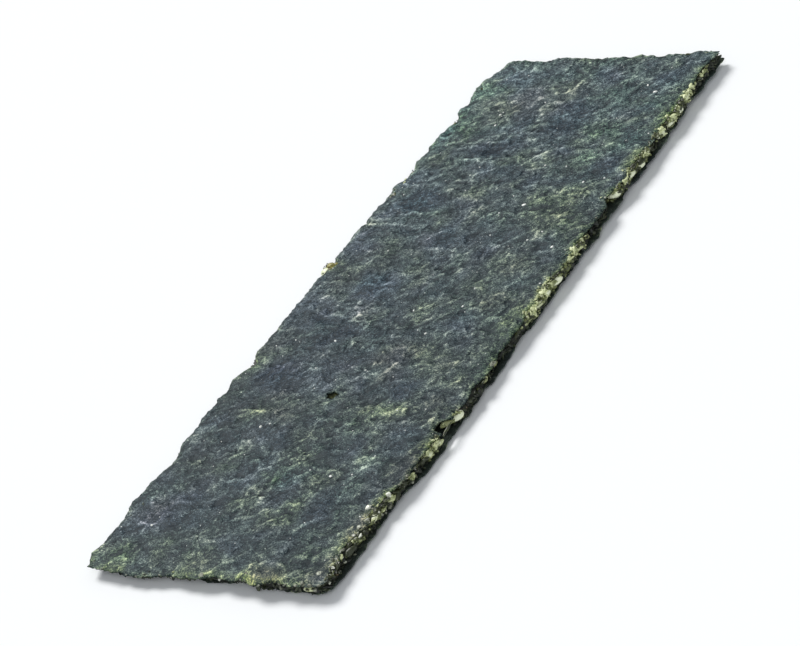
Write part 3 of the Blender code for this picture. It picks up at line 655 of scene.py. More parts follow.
def laver(name, distance, seed, patches, strokes, browns, faces_up, step, hole=None, extra=None):
    """A closed sheet of laver: a finely crinkled outer face, a thin frayed rim, and a plain inner face."""
    rim = outline(distance, step)
    loops = [rim]
    holes = ()
    if hole:
        cx, cy, a, b = hole
        loops.append([
            (cx + a * (1.0 + 0.15 * math.sin(3.0 * t) + 0.1 * math.sin(7.0 * t)) * math.cos(t), cy + b * (1.0 + 0.12 * math.sin(5.0 * t)) * math.sin(t))
            for t in (-2.0 * math.pi * i / 26 for i in range(26))
        ])
        holes = (hole,)
    points, _ = grid_inside(rim, step, 0.55 * step, holes, 0.22, seed)
    flat, faces = triangulated(loops, points)
    coarse_points, _ = grid_inside(rim, 1.5, 0.8, holes, 0.1, seed + 1)
    ringed = sum(len(loop) for loop in loops)
    inner_flat, inner_faces = triangulated(loops, coarse_points)

    h, marks = relief(seed, patches, strokes, browns)
    if extra:
        extra(h, marks)
    h = h + lumps(SEEDS, 0.07)
    x, y = flat[:, 0], flat[:, 1]
    tree = KDTree(len(rim))
    for k, p in enumerate(rim):
        tree.insert((p[0], p[1], 0.0), k)
    tree.balance()
    to_edge = np.full(len(flat), 9.0)
    for k in np.nonzero((np.abs(x) > 13.0) | (np.abs(y) > 43.5))[0]:
        to_edge[k] = tree.find((x[k], y[k], 0.0))[2]
    thin = np.exp(-((to_edge / 0.45) ** 2))
    curl = np.exp(-((to_edge / 1.3) ** 2)) * (0.16 * perlin(x / 3.1, y / 3.1, seed + 20) + 0.08 * perlin(x / 1.1, y / 1.1, seed + 21))
    values = {key: read(m, x, y) for key, m in marks.items()}
    edge = np.exp(-((to_edge / 0.5) ** 2))
    values["level"] += edge * (0.05 + 0.20 * perlin(x / 1.3, y / 1.3, seed + 22))
    values["green"] += 0.8 * edge

    outer = read(h, x, y)
    inner_x, inner_y = inner_flat[:, 0], inner_flat[:, 1]
    inner_edge = np.array([tree.find((a, b, 0.0))[2] for a, b in inner_flat])
    inner_curl = np.exp(-((inner_edge / 1.3) ** 2)) * (0.16 * perlin(inner_x / 3.1, inner_y / 3.1, seed + 20) + 0.08 * perlin(inner_x / 1.1, inner_y / 1.1, seed + 21))
    if faces_up:
        top = read(UPPER_LOW, x, y) + SHEET + outer + curl - 0.10 * thin
        ceiling = (cad_high.z / MM) + 0.02
        top = np.minimum(top, ceiling - 0.04 + 0.04 * np.tanh((top - ceiling + 0.04) / 0.04))
        inner = read(UPPER_LOW, inner_x, inner_y) + inner_curl + 0.03
    else:
        top = read(LOWEST, x, y) - outer * 0.8 + curl + 0.08 * thin
        top = np.maximum(top, 0.0)
        inner = read(UNDER, inner_x, inner_y) + SHEET + inner_curl - 0.03
    count = len(flat)
    vertices = np.concatenate([np.column_stack([flat, top]), np.column_stack([inner_flat, inner])])
    shell = [faces if faces_up else faces[:, ::-1], (inner_faces[:, ::-1] if faces_up else inner_faces) + count]
    middle, extra_vertices = {}, []
    rims = border_of(faces)
    follows = dict(rims)
    leads = {b: a for a, b in rims}
    total = len(vertices)
    for a in follows:
        p, q = flat[follows[a]], flat[leads[a]]
        t = p - q
        t = t / (np.hypot(*t) or 1.0)
        out = np.array([t[1], -t[0]])
        z = 0.5 * (vertices[a][2] + vertices[count + a][2])
        middle[a] = total + len(extra_vertices)
        push = 0.05
        extra_vertices.append((flat[a][0] + out[0] * push, flat[a][1] + out[1] * push, z))
    walls = []
    for a, b in rims:
        ring = [(a, middle[a], middle[b]), (a, middle[b], b), (middle[a], count + a, count + b), (middle[a], count + b, middle[b])]
        walls += ring if faces_up else [r[::-1] for r in ring]
    shell.append(np.array(walls))
    vertices = np.concatenate([vertices, np.array(extra_vertices)])
    attributes = {}
    ring_index = np.array(sorted(middle, key=middle.get))
    for key, v in values.items():
        attributes[key] = np.concatenate([v, read(marks[key], inner_x, inner_y), v[ring_index]])
    side = np.concatenate([np.zeros(count), np.ones(len(inner_flat)), np.full(len(extra_vertices), 0.5)])
    attributes["inner"] = side
    obj = new_object(name, vertices, np.concatenate(shell), attributes)
    uv = np.empty((len(vertices), 2))
    uv[:, 0] = (vertices[:, 1] + 48.6) / 97.2
    uv[:, 1] = (vertices[:, 0] + 18.6) / 37.2
    uv[:count, 1] = 0.005 + 0.66 * uv[:count, 1]
    uv[count:, 1] = 0.68 + 0.315 * uv[count:, 1]
    lay_uv(obj, uv)
    return obj, h


# Materials

def material(name):
    m = bpy.data.materials.new(name)
    m.use_nodes = True
    nt = m.node_tree
    return m, nt, nt.nodes["Principled BSDF"]


def node(nt, kind, **settings):
    n = nt.nodes.new(kind)
    for key, value in settings.items():
        setattr(n, key, value)
    return n


def attribute(nt, name):
    return node(nt, "ShaderNodeAttribute", attribute_type="GEOMETRY", attribute_name=name).outputs["Fac"]


def maths(nt, operation, a, b=None, clamp=False):
    n = node(nt, "ShaderNodeMath", operation=operation, use_clamp=clamp)
    for k, v in enumerate((a, b)):
        if v is None:
            continue
        if isinstance(v, (int, float)):
            n.inputs[k].default_value = v
        else:
            nt.links.new(v, n.inputs[k])
    return n.outputs[0]


def mixed(nt, factor, a, b, blend="MIX"):
    n = node(nt, "ShaderNodeMix", data_type="RGBA", blend_type=blend, clamp_factor=True)
    for socket, v in ((n.inputs[0], factor), (n.inputs[6], a), (n.inputs[7], b)):
        if isinstance(v, (int, float)):
            socket.default_value = v
        elif isinstance(v, tuple):
            socket.default_value = (*v, 1.0)
        else:
            nt.links.new(v, socket)
    return n.outputs[2]


def textured(nt, size, detail=3.0, rough=0.55, seed=0.0):
    """Noise with features about size millimetres across."""
    place = node(nt, "ShaderNodeTexCoord").outputs["Object"]
    shift = node(nt, "ShaderNodeMapping")
    shift.inputs["Location"].default_value = (seed * 0.013, seed * 0.007, seed * 0.003)
    nt.links.new(place, shift.inputs["Vector"])
    n = node(nt, "ShaderNodeTexNoise")
    n.inputs["Scale"].default_value = 1.0 / (size * MM)
    n.inputs["Detail"].default_value = detail
    n.inputs["Roughness"].default_value = rough
    nt.links.new(shift.outputs[0], n.inputs["Vector"])
    return n.outputs["Fac"]


def ramp_of(nt, factor, stops):
    n = node(nt, "ShaderNodeValToRGB")
    ramp = n.color_ramp
    ramp.elements[0].position, ramp.elements[0].color = stops[0][0], (*stops[0][1], 1)
    ramp.elements[1].position, ramp.elements[1].color = stops[-1][0], (*stops[-1][1], 1)
    for position, colour in stops[1:-1]:
        ramp.elements.new(position).color = (*colour, 1)
    nt.links.new(factor, n.inputs[0])
    return n.outputs[0]


def plus(nt, *terms):
    """The sum of (socket, factor) pairs and plain numbers."""
    total = None
    for term in terms:
        if isinstance(term, tuple):
            value = maths(nt, "MULTIPLY", term[0], term[1])
        else:
            value = term
        total = value if total is None else maths(nt, "ADD", total, value)
    return total


def fibres(nt, place, turn, long, thin, seed, sharp):
    """Fine curved lines, about thin apart and long along the way that turn gives, in millimetres."""
    spin = node(nt, "ShaderNodeMapping", vector_type="TEXTURE")
    spin.inputs["Location"].default_value = (seed * 3.1, seed * 1.7, seed * 5.3)
    spin.inputs["Rotation"].default_value = (0, 0, math.radians(turn))
    spin.inputs["Scale"].default_value = (long, thin, 1.0)
    nt.links.new(place, spin.inputs["Vector"])
    n = node(nt, "ShaderNodeTexNoise")
    n.inputs["Scale"].default_value = 1.0
    n.inputs["Detail"].default_value = 2.0
    n.inputs["Roughness"].default_value = 0.5
    nt.links.new(spin.outputs[0], n.inputs["Vector"])
    off = maths(nt, "ABSOLUTE", maths(nt, "SUBTRACT", n.outputs["Fac"], 0.5))
    line = maths(nt, "SUBTRACT", 1.0, maths(nt, "MULTIPLY", off, sharp), clamp=True)
    return maths(nt, "POWER", line, 1.6)


def laver_material(name):
    m, nt, shader = material(name)
    mm = node(nt, "ShaderNodeVectorMath", operation="SCALE")
    nt.links.new(node(nt, "ShaderNodeTexCoord").outputs["Object"], mm.inputs[0])
    mm.inputs["Scale"].default_value = 1000.0
    place = mm.outputs[0]

    def noise_of(size, detail, rough, seed, vector=place, colour=False):
        shift = node(nt, "ShaderNodeVectorMath", operation="ADD")
        nt.links.new(vector, shift.inputs[0])
        shift.inputs[1].default_value = (seed * 7.3, seed * 3.9, seed * 5.1)
        n = node(nt, "ShaderNodeTexNoise")
        n.inputs["Scale"].default_value = 1.0 / size
        n.inputs["Detail"].default_value = detail
        n.inputs["Roughness"].default_value = rough
        nt.links.new(shift.outputs[0], n.inputs["Vector"])
        return n.outputs["Color" if colour else "Fac"]

    def vectors(operation, *terms):
        n = node(nt, "ShaderNodeVectorMath", operation=operation)
        for socket, v in zip(n.inputs, terms):
            if isinstance(v, tuple):
                socket.default_value = v
            else:
                nt.links.new(v, socket)
        return n.outputs[0]

    bent = vectors("MULTIPLY_ADD", noise_of(1.3, 2.0, 0.5, 1.0, colour=True), (1.3, 1.3, 0.0), place)
    hair_a = fibres(nt, bent, 47.0, 3.2, 0.50, 1.0, 15.0)
    hair_b = fibres(nt, bent, 8.0, 3.0, 0.46, 2.0, 15.0)
    where = noise_of(1.6, 2.0, 0.6, 4.0)
    hair = maths(nt, "MAXIMUM",
                 maths(nt, "MULTIPLY", hair_a, maths(nt, "MULTIPLY", maths(nt, "SUBTRACT", where, 0.44), 6.0, clamp=True)),
                 maths(nt, "MULTIPLY", hair_b, maths(nt, "MULTIPLY", maths(nt, "SUBTRACT", 0.48, where), 6.0, clamp=True)))
    drawn = node(nt, "ShaderNodeMapping", vector_type="TEXTURE")
    drawn.inputs["Rotation"].default_value = (0, 0, math.radians(35.0))
    drawn.inputs["Scale"].default_value = (1.8, 0.9, 1.0)
    nt.links.new(bent, drawn.inputs["Vector"])
    grain = noise_of(0.17, 3.0, 0.6, 5.0)
    speckle = noise_of(0.36, 3.0, 0.65, 6.0, drawn.outputs[0])

    level = plus(
        nt, attribute(nt, "level"), -0.02, (hair, 0.36), (maths(nt, "SUBTRACT", grain, 0.5), 3.0),
        (maths(nt, "SUBTRACT", speckle, 0.5), 0.90),
    )
    colour = ramp_of(nt, maths(nt, "MULTIPLY", level, 0.7143), LAVER_STOPS)
    tint = vectors("MULTIPLY_ADD", attribute(nt, "green"), (0.052, 0.062, -0.158), (1.0, 1.0, 1.0))
    tint = vectors("MULTIPLY_ADD", attribute(nt, "red"), (0.066, -0.032, 0.012), tint)
    colour = vectors("MULTIPLY", colour, tint)
    colour = mixed(nt, maths(nt, "MULTIPLY", attribute(nt, "inner"), 0.8), colour, (0.016, 0.020, 0.014))
    nt.links.new(colour, shader.inputs["Base Color"])
    nt.links.new(plus(nt, 0.40, (grain, 0.22)), shader.inputs["Roughness"])
    shader.inputs["Specular IOR Level"].default_value = 0.14
    shader.inputs["Specular Tint"].default_value = (0.72, 0.92, 1.0, 1.0)
    bump = node(nt, "ShaderNodeBump")
    bump.inputs["Strength"].default_value = 0.8
    bump.inputs["Distance"].default_value = 0.07 * MM
    nt.links.new(plus(nt, (speckle, 1.1), (grain, 0.6), (hair, 0.55)), bump.inputs["Height"])
    nt.links.new(bump.outputs[0], shader.inputs["Normal"])
    return m


def crumb_material(name, dark, middle, light, rough, size=0.35, bump_by=0.05):
    m, nt, shader = material(name)
    grain = textured(nt, size, 4.0, 0.6, 5.0)
    base = node(nt, "ShaderNodeValToRGB")
    ramp = base.color_ramp
    ramp.elements[0].position, ramp.elements[0].color = 0.30, (*dark, 1)
    ramp.elements[1].position, ramp.elements[1].color = 0.72, (*light, 1)
    ramp.elements.new(0.5).color = (*middle, 1)
    shade = maths(nt, "ADD", grain, maths(nt, "MULTIPLY", attribute(nt, "shade"), 0.30))
    nt.links.new(shade, base.inputs[0])
    nt.links.new(base.outputs[0], shader.inputs["Base Color"])
    r = maths(nt, "MULTIPLY_ADD", grain, 0.3)
    r.node.inputs[2].default_value = rough - 0.15
    nt.links.new(r, shader.inputs["Roughness"])
    bump = node(nt, "ShaderNodeBump")
    bump.inputs["Strength"].default_value = 0.5
    bump.inputs["Distance"].default_value = bump_by * MM
    nt.links.new(grain, bump.inputs["Height"])
    nt.links.new(bump.outputs[0], shader.inputs["Normal"])
    return m


# Along the right side: the seeds that show, as (Y, how far in, size, brightness), and the places, as (Y, half
# width, how much), where the filling is pale and yellow-green. In between it is dark.
RIGHT_SEEDS = (
    (38.0, 0.25, 2.3, 0.5), (35.4, 0.20, 2.1, 1.2), (32.5, 0.30, 2.3, 0.5), (30.3, 0.20, 2.1, 0.8), (26.6, 0.40, 2.0, -0.1),
    (24.2, 0.20, 2.4, 1.5), (22.4, 0.30, 2.3, 1.0), (18.2, 0.25, 2.3, 1.0), (8.9, 0.40, 2.2, 0.0), (5.6, 0.50, 2.0, -0.3),
    (2.4, 0.20, 2.4, 1.4), (0.2, 0.30, 2.3, 0.9), (-1.9, 0.30, 2.2, 0.2), (-3.6, 0.20, 2.2, 0.7), (-5.4, 0.40, 1.9, 0.0),
    (-12.4, 0.50, 1.5, -0.2), (-20.6, 0.20, 2.2, 1.0), (-24.9, 0.35, 2.2, 0.3), (-26.9, 0.35, 2.2, 0.1),
    (-33.6, 0.40, 1.9, 0.0), (-36.7, 0.25, 1.7, 1.3), (-39.9, 0.45, 2.0, -0.2), (-44.4, 0.55, 2.0, -0.3),
)
RIGHT_PALE = (
    (42.5, 1.2, 0.35), (37.8, 2.3, 1.0), (35.5, 1.2, 0.8), (33.4, 1.7, 1.0), (30.6, 1.2, 0.9), (26.2, 1.4, 0.7), (23.5, 2.1, 1.2), (18.6, 1.4, 1.0),
    (8.7, 1.7, 0.65), (5.2, 1.5, 0.45), (1.2, 2.4, 1.3), (-3.4, 1.4, 1.1), (-12.4, 0.7, 0.30), (-20.5, 0.8, 0.7),
    (-25.9, 1.6, 0.85), (-30.4, 1.1, 0.42), (-33.6, 1.2, 0.50), (-36.4, 1.3, 0.72), (-40.0, 1.8, 0.42), (-44.4, 1.5, 0.32),
)


# The upper sheet, with the marks that show on it.

TO_RIM = sampled(lambda x, y: inside(x, y, TOP_LEFT, TOP_RIGHT, TOP_FRONT, TOP_BACK, 11.0, 0.0))


# Places where the upper sheet is stretched thin over seeds and syrup, and pale: x, y, half size along and across,
# turn, rise, how much lighter and how green.
THIN = (
    (8.0, -46.7, 2.8, 1.4, 4.0, 0.14, 0.09, 1.5), (5.5, -47.0, 0.8, 0.7, 0.0, 0.08, 0.40, 1.8),
    (-2.4, -46.2, 2.2, 1.5, 70.0, 0.05, 0.06, 0.6), (-14.2, -46.8, 2.3, 1.3, -15.0, 0.06, 0.06, 0.6),
    (12.5, -46.2, 2.6, 0.8, 20.0, 0.04, 0.06, 0.4), (15.4, -4.4, 2.2, 1.2, 80.0, 0.06, 0.18, 1.8),
    (15.3, -35.0, 2.4, 0.9, 80.0, 0.05, 0.14, 1.1), (15.9, -25.6, 2.2, 0.7, 75.0, 0.04, 0.10, 1.2),
    (14.9, -40.8, 2.4, 1.2, 70.0, 0.05, 0.10, 0.8), (16.2, 33.0, 2.2, 0.9, 90.0, 0.04, 0.12, 1.2),
    (15.9, 24.6, 2.6, 0.8, 85.0, 0.04, 0.14, 1.2), (-16.4, 3.9, 1.6, 1.2, 0.0, 0.04, 0.10, 1.0),
    (7.4, -20.8, 2.6, 1.3, 15.0, 0.03, 0.08, 0.5), (-11.0, -22.9, 2.6, 0.9, 0.0, 0.03, 0.10, 0.3),
)


def upper_marks(h, marks):
    freckles = perlin(PX / 0.62, PY / 0.62, 77) + 0.6 * perlin(PX / 0.35, PY / 0.35, 78)
    for cx, cy, a, b, turn, rise, light, green in THIN:
        t = math.radians(turn)
        u = ((PX - cx) * math.cos(t) + (PY - cy) * math.sin(t)) / a
        v = (-(PX - cx) * math.sin(t) + (PY - cy) * math.cos(t)) / b
        hump = np.exp(-1.3 * (u**4 + v**4))
        h += rise * hump
        marks["green"] += green * hump
        marks["level"] += light * hump * (1.0 + 1.3 * freckles)
    zx, zy = warped(161, 0.9, 0.4)
    for x, y, a, b, lighter, yellower, redder in UPPER_ZONES:
        zone = np.exp(-1.1 * (((zx - x) / a) ** 2 + ((zy - y) / b) ** 2) ** 1.5)
        marks["level"] += lighter * zone
        marks["green"] += yellower * zone
        marks["red"] += redder * zone
    marks["green"] = 1.8 * np.tanh(marks["green"] / 1.8)
    pale = sum(much * np.exp(-(((PY - place) / half) ** 2)) for place, half, much in RIGHT_PALE)
    reach = 0.95 + 0.45 * perlin(PX / 1.6, PY / 1.6, 79)
    band = np.minimum(pale, 1.3) * np.exp(-((TO_RIM / np.maximum(reach, 0.3)) ** 2)) * smooth_map(12.0, 14.5, PX)
    marks["green"] += 1.6 * band
    marks["level"] += band * (0.20 + 0.28 * np.clip(freckles, -0.5, 1.0))
    h += 0.05 * band * freckles
    # the front rim, and the right one near its corner, are pressed and frayed, and greener; they are lighter with a
    # painted highlight of the lit rim, patchy with the freckles
    front = 0.04 + sum(much * np.exp(-(((PX - place) / half) ** 2)) for place, half, much in ((-13.5, 3.0, 0.22), (-1.0, 3.2, 0.24), (6.5, 3.2, 0.22), (12.5, 2.0, 0.14)))
    front = front * smooth_map(-44.0, -46.0, PY)
    side = 0.12 * smooth_map(-30.0, -33.0, PY) * smooth_map(12.0, 14.5, PX)
    rim = np.exp(-(((TO_RIM - 0.45) / 0.65) ** 2))
    marks["level"] += rim * (front + side) * (1.0 + 0.8 * np.clip(freckles, -0.8, 1.0))
    marks["green"] += rim * (4.5 * front + 1.0 * side)


laver_stuff = laver_material("roasted_laver")
upper, upper_relief = laver("laver_sheet_upper", upper_inside, 100, UPPER_PATCHES, UPPER_STROKES, UPPER_BROWNS, True, 0.205, HOLE, upper_marks)
upper.data.materials.append(laver_stuff)
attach(upper, "root")
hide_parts("laver_upper")

lower_browns = [(x, y, a, b, 3.0 * g) for x, y, a, b, _, _, g in strewn_patches(33)[::2]]
lower, lower_relief = laver(
    "laver_sheet_lower", lower_inside, 300, strewn_patches(31), strewn(np.random.default_rng(32), 45, 5.0, 0.1, -40, 25), lower_browns, False, 0.25
)
lower.data.materials.append(laver_stuff)
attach(lower, "root")
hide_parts("laver_lower")


# The filling's core: a lumpy band set back from the sheets' edges.

def paleness(x, y, out):
    """How pale the filling is at a place of its rim, from 0 to about 1.5."""
    if out[0] > 0.7:
        return 0.03 + sum(much * math.exp(-(((y - place) / half) ** 2)) for place, half, much in RIGHT_PALE)
    patchy = 1.5 * wave(x, y, 3.4, 81.0)
    if out[1] < -0.7:
        return max(0.05, 0.04 + 0.6 * patchy)
    return max(0.04, 0.85 * patchy - 0.14)


def core():
    step = 0.16
    def recessed(x, y):
        return min(filling_inside(x, y) - 0.42, math.hypot(x - BITE[0], y - BITE[1]) - BITE[2] - 1.15)

    rim = outline(recessed, step)
    ring = np.array(rim)
    nxt, prv = np.roll(ring, -1, axis=0), np.roll(ring, 1, axis=0)
    t = nxt - prv
    t /= np.hypot(t[:, 0], t[:, 1])[:, None]
    out = np.column_stack([t[:, 1], -t[:, 0]])
    run = np.concatenate([[0.0], np.cumsum(np.hypot(*(nxt - ring)[:-1].T))])
    low = read(UNDER, ring[:, 0], ring[:, 1]) + SHEET
    high = read(UPPER_LOW, ring[:, 0], ring[:, 1])
    dull = np.array([1.0 - smooth(0.1, 0.9, paleness(x, y, o)) for (x, y), o in zip(ring, out)])
    rows = 9
    bands, shades = [], []
    for k in range(rows):
        f = k / (rows - 1.0)
        z = low + (high - low) * f
        bulge = 0.22 * perlin(run / 0.55, z / 0.5, 61) + 0.12 * perlin(run / 0.25, z / 0.22, 62) + 0.25 * perlin(run / 2.2, z / 3.0, 63)
        bulge = bulge - 0.12 * (2 * f - 1) ** 4
        xy = ring + out * bulge[:, None]
        bands.append(np.column_stack([xy, z]))
        # lighter where the band bulges out and darker where it dips in: painted light and shade
        shades.append(bulge * 1.6 + 0.25 * perlin(run / 1.4, z / 0.8, 64) + 0.45 - 1.35 * dull)
    count = len(ring)
    vertices = np.concatenate(bands)
    shade = np.concatenate(shades)
    faces = []
    idx = np.arange(count)
    nx = np.roll(idx, -1)
    for k in range(rows - 1):
        a, b = idx + k * count, nx + k * count
        faces.append(np.column_stack([a, b, b + count]))
        faces.append(np.column_stack([a, b + count, a + count]))
    # the flat parts above and below, out of sight between the sheets
    points, _ = grid_inside(rim, 2.5, 1.2)
    points = points[np.hypot(points[:, 0] - HOLE[0], points[:, 1] - HOLE[1]) > 1.9]
    points = np.concatenate([points] + [
        [(HOLE[0] + r * math.cos(0.785 * k), HOLE[1] + r * math.sin(0.785 * k)) for k in range(8)] for r in (0.5, 0.95, 1.4)
    ])
    flat, tri = triangulated([rim], points)
    top_z = read(UPPER_LOW, flat[:, 0], flat[:, 1]) - 0.7 * np.exp(-((np.hypot(flat[:, 0] - HOLE[0], flat[:, 1] - HOLE[1]) / 1.0) ** 4))
    low_z = read(UNDER, flat[:, 0], flat[:, 1]) + SHEET
    extra = len(flat) - count
    top_ids = np.concatenate([idx + (rows - 1) * count, len(vertices) + np.arange(extra)])
    low_ids = np.concatenate([idx, len(vertices) + extra + np.arange(extra)])
    vertices = np.concatenate([vertices, np.column_stack([flat[count:], top_z[count:]]), np.column_stack([flat[count:], low_z[count:]])])
    shade = np.concatenate([shade, np.zeros(2 * extra)])
    faces += [top_ids[tri], low_ids[tri][:, ::-1]]
    return new_object("filling_core", vertices, np.concatenate(faces), {"shade": shade})


filling = core()
filling.data.materials.append(crumb_material("filling_crumb", (0.008, 0.010, 0.006), (0.055, 0.064, 0.024), (0.28, 0.31, 0.13), 0.6, 0.5, 0.08))
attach(filling, "root")
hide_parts("seed_filling")


# Seeds, lumps and crumbs along the edges.

def seed_shape(around=16, along=12):
    """A sesame seed of unit size: a flat drop, pointed at one end, 1 long, 0.62 wide and 0.30 thick."""
    vertices, faces = [(0.5, 0.0, 0.0)], []
    for j in range(1, along):
        f = j / along
        x = 0.5 - f
        w = 0.31 * math.sin(math.pi * f**0.72) ** 0.62
        th = 0.155 * math.sin(math.pi * f**0.8) ** 0.7
        for i in range(around):
            a = 2 * math.pi * i / around
            ridge = 1.0 + 0.10 * math.cos(a) ** 8
            vertices.append((x, w * math.cos(a) * ridge, th * math.sin(a) * (1.0 - 0.25 * abs(math.cos(a)) ** 3)))
    vertices.append((-0.5, 0.0, 0.0))
    last = len(vertices) - 1
    for i in range(around):
        faces.append((0, 1 + i, 1 + (i + 1) % around))
        faces.append((last, last - around + (i + 1) % around, last - around + i))
    for j in range(along - 2):
        for i in range(around):
            a, b = 1 + j * around + i, 1 + j * around + (i + 1) % around
            faces += [(a, a + around, b + around), (a, b + around, b)]
    return np.array(vertices), np.array(faces)


def lump_shape(level=2):
    """A ball of triangles of unit radius."""
    p = (1 + math.sqrt(5)) / 2
    v = [(-1, p, 0), (1, p, 0), (-1, -p, 0), (1, -p, 0), (0, -1, p), (0, 1, p), (0, -1, -p), (0, 1, -p), (p, 0, -1), (p, 0, 1), (-p, 0, -1), (-p, 0, 1)]
    f = [(0, 11, 5), (0, 5, 1), (0, 1, 7), (0, 7, 10), (0, 10, 11), (1, 5, 9), (5, 11, 4), (11, 10, 2), (10, 7, 6), (7, 1, 8),
         (3, 9, 4), (3, 4, 2), (3, 2, 6), (3, 6, 8), (3, 8, 9), (4, 9, 5), (2, 4, 11), (6, 2, 10), (8, 6, 7), (9, 8, 1)]
    v = [np.array(q, float) / math.sqrt(1 + p * p) for q in v]
    for _ in range(level):
        known, new = {}, []
        def mid(a, b):
            key = (min(a, b), max(a, b))
            if key not in known:
                m = v[a] + v[b]
                v.append(m / np.linalg.norm(m))
                known[key] = len(v) - 1
            return known[key]
        for a, b, c in f:
            ab, bc, ca = mid(a, b), mid(b, c), mid(c, a)
            new += [(a, ab, ca), (b, bc, ab), (c, ca, bc), (ab, bc, ca)]
        f = new
    return np.array(v), np.array(f)


class Heap:
    """Copies of small shapes gathered into one mesh."""

    def __init__(self):
        self.vertices, self.faces, self.shade, self.count = [], [], [], 0

    def add(self, shape, at, size, turn, shade=0.0, rough=0.0, seed=0):
        v, f = shape
        v = v.copy()
        if rough:
            rng = np.random.default_rng(seed)
            way = rng.standard_normal((4, 3))
            phase = rng.uniform(0, 6.28, 4)
            swell_by = sum(np.sin(v @ (w * 2.2) + p) for w, p in zip(way, phase)) / 4.0
            v = v * (1.0 + rough * swell_by)[:, None]
        v = v * np.asarray(size)
        v = v @ np.array(turn.to_3x3()).T + np.asarray(at)
        self.vertices.append(v)
        self.faces.append(f + self.count)
        self.shade.append(np.full(len(v), shade))
        self.count += len(v)

    def made(self, name, stuff, slot="seed_filling", smooth_shaded=True):
        vertices = np.concatenate(self.vertices)
        vertices[:, 2] = np.clip(vertices[:, 2], 0.005, cad_high.z / MM + 0.045)
        obj = new_object(name, vertices, np.concatenate(self.faces), {"shade": np.concatenate(self.shade)}, smooth_shaded)
        obj.data.materials.append(stuff)
        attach(obj, "root")
        return obj


FILL_RIM = np.array(outline(filling_inside, 0.25))
_next = np.roll(FILL_RIM, -1, axis=0)
_tangent = _next - np.roll(FILL_RIM, 1, axis=0)
_tangent /= np.hypot(_tangent[:, 0], _tangent[:, 1])[:, None]
FILL_OUT = np.column_stack([_tangent[:, 1], -_tangent[:, 0]])
FILL_RUN = np.concatenate([[0.0], np.cumsum(np.hypot(*(_next - FILL_RIM)[:-1].T))])
PERIMETER = FILL_RUN[-1] + float(np.hypot(*(FILL_RIM[0] - FILL_RIM[-1])))

def on_rim(run):
    k = int(np.searchsorted(FILL_RUN, run % PERIMETER)) % len(FILL_RIM)
    return FILL_RIM[k], FILL_OUT[k]


def run_at_right(y):
    """Where along the rim the right side passes a given y."""
    right = np.nonzero((FILL_RIM[:, 0] > 12.0) & (np.abs(FILL_RIM[:, 1]) < 46.5))[0]
    return float(FILL_RUN[right[np.argmin(np.abs(FILL_RIM[right, 1] - y))]])


def in_bite(x, y, margin):
    return math.hypot(x - BITE[0], y - BITE[1]) < BITE[2] + margin


seed_form = seed_shape()
lump_form = lump_shape(2)
small_form = lump_shape(1)
tiny_form = lump_shape(0)
rng = np.random.default_rng(17)
whole, nuggets, crumbs, flakes, toasted = Heap(), Heap(), Heap(), Heap(), Heap()


def put_seed(run, inset, size, shade, heading=None, lift=0.5, bits=(7, 13), pale_bits=0.5):
    (x, y), out = on_rim(run)
    x, y = x - out[0] * inset, y - out[1] * inset
    if in_bite(x, y, 0.7) or (x < -14.5 and y < -44.5):
        return
    low = float(read(UNDER, x, y)) + SHEET
    high = float(read(UPPER_LOW, x, y))
    thick = min(size * 0.40, high - low - 0.06)
    z = low + 0.5 * thick + (high - low - thick) * lift
    heading = math.atan2(out[1], out[0]) + (heading if heading is not None else rng.normal(math.pi / 2, 0.55))
    turn = Matrix.Rotation(heading, 4, "Z") @ Matrix.Rotation(rng.normal(0, 0.12), 4, "Y") @ Matrix.Rotation(rng.normal(0, 0.25), 4, "X")
    wide = size * rng.uniform(0.98, 1.18)
    whole.add(seed_form, (x, y, z), (size, wide, thick / 0.30), turn, shade, 0.16, int(rng.integers(1e6)))
    for _ in range(int(rng.integers(*bits))):
        a = rng.uniform(0.0, 2.0 * math.pi)
        spot = turn @ Vector((0.42 * size * math.cos(a), 0.29 * wide * math.sin(a), rng.uniform(-0.3, 0.5) * thick))
        r = rng.uniform(0.06, 0.15)
        spin = Matrix.Rotation(rng.uniform(0, 6.28), 4, Vector(rng.standard_normal(3)).normalized())
        heap = nuggets if rng.random() < pale_bits else flakes
        heap.add(small_form, (x + spot.x, y + spot.y, z + spot.z), (1.5 * r, r, 0.6 * r), spin, rng.uniform(-0.9, 0.9), 0.4, int(rng.integers(1e6)))


for y, inset, size, bright in RIGHT_SEEDS:
    put_seed(run_at_right(y), inset + 0.26, 0.84 * size, bright, math.pi / 2 + rng.normal(0.0, 0.22), rng.uniform(0.8, 1.0), (1, 5), 0.9)
run = 2.0
while run < PERIMETER - 1.0:
    (x, y), out = on_rim(run)
    if out[0] < 0.7:
        pale = paleness(x, y, out)
        set_back = 0.15 if out[1] > 0.5 else 0.45
        put_seed(run, rng.uniform(0.35, 0.8) + set_back, rng.uniform(2.0, 2.6), rng.uniform(-0.6, 0.6), None, rng.uniform(0.2, 0.9))
        run += rng.uniform(2.4, 5.0) / (0.45 + 0.75 * min(1.2, pale))
    else:
        put_seed(run, rng.uniform(1.1, 1.6), rng.uniform(2.2, 2.7), rng.uniform(-0.9, -0.2), None, rng.uniform(0.1, 0.8))
        run += rng.uniform(2.5, 4.5)

def tone(x, y, pale):
    """How light a lump is: alike over a millimetre or so, lighter where the filling is pale."""
    lean = 0.62 * min(pale, 1.3) - 0.50 - 0.5 * smooth(0.4, 0.1, pale) - 0.20 * smooth(-27.0, -34.0, y)
    return 1.8 * wave(x, y, 1.1, 83.0) + 0.9 * wave(x, y, 0.5, 84.0) + lean + 0.22 * rng.standard_normal()


def greyish(y):
    """Whether a bit is of the greyer kind, which is common near the front end."""
    return rng.random() < 0.75 * smooth(-27.0, -31.0, y)


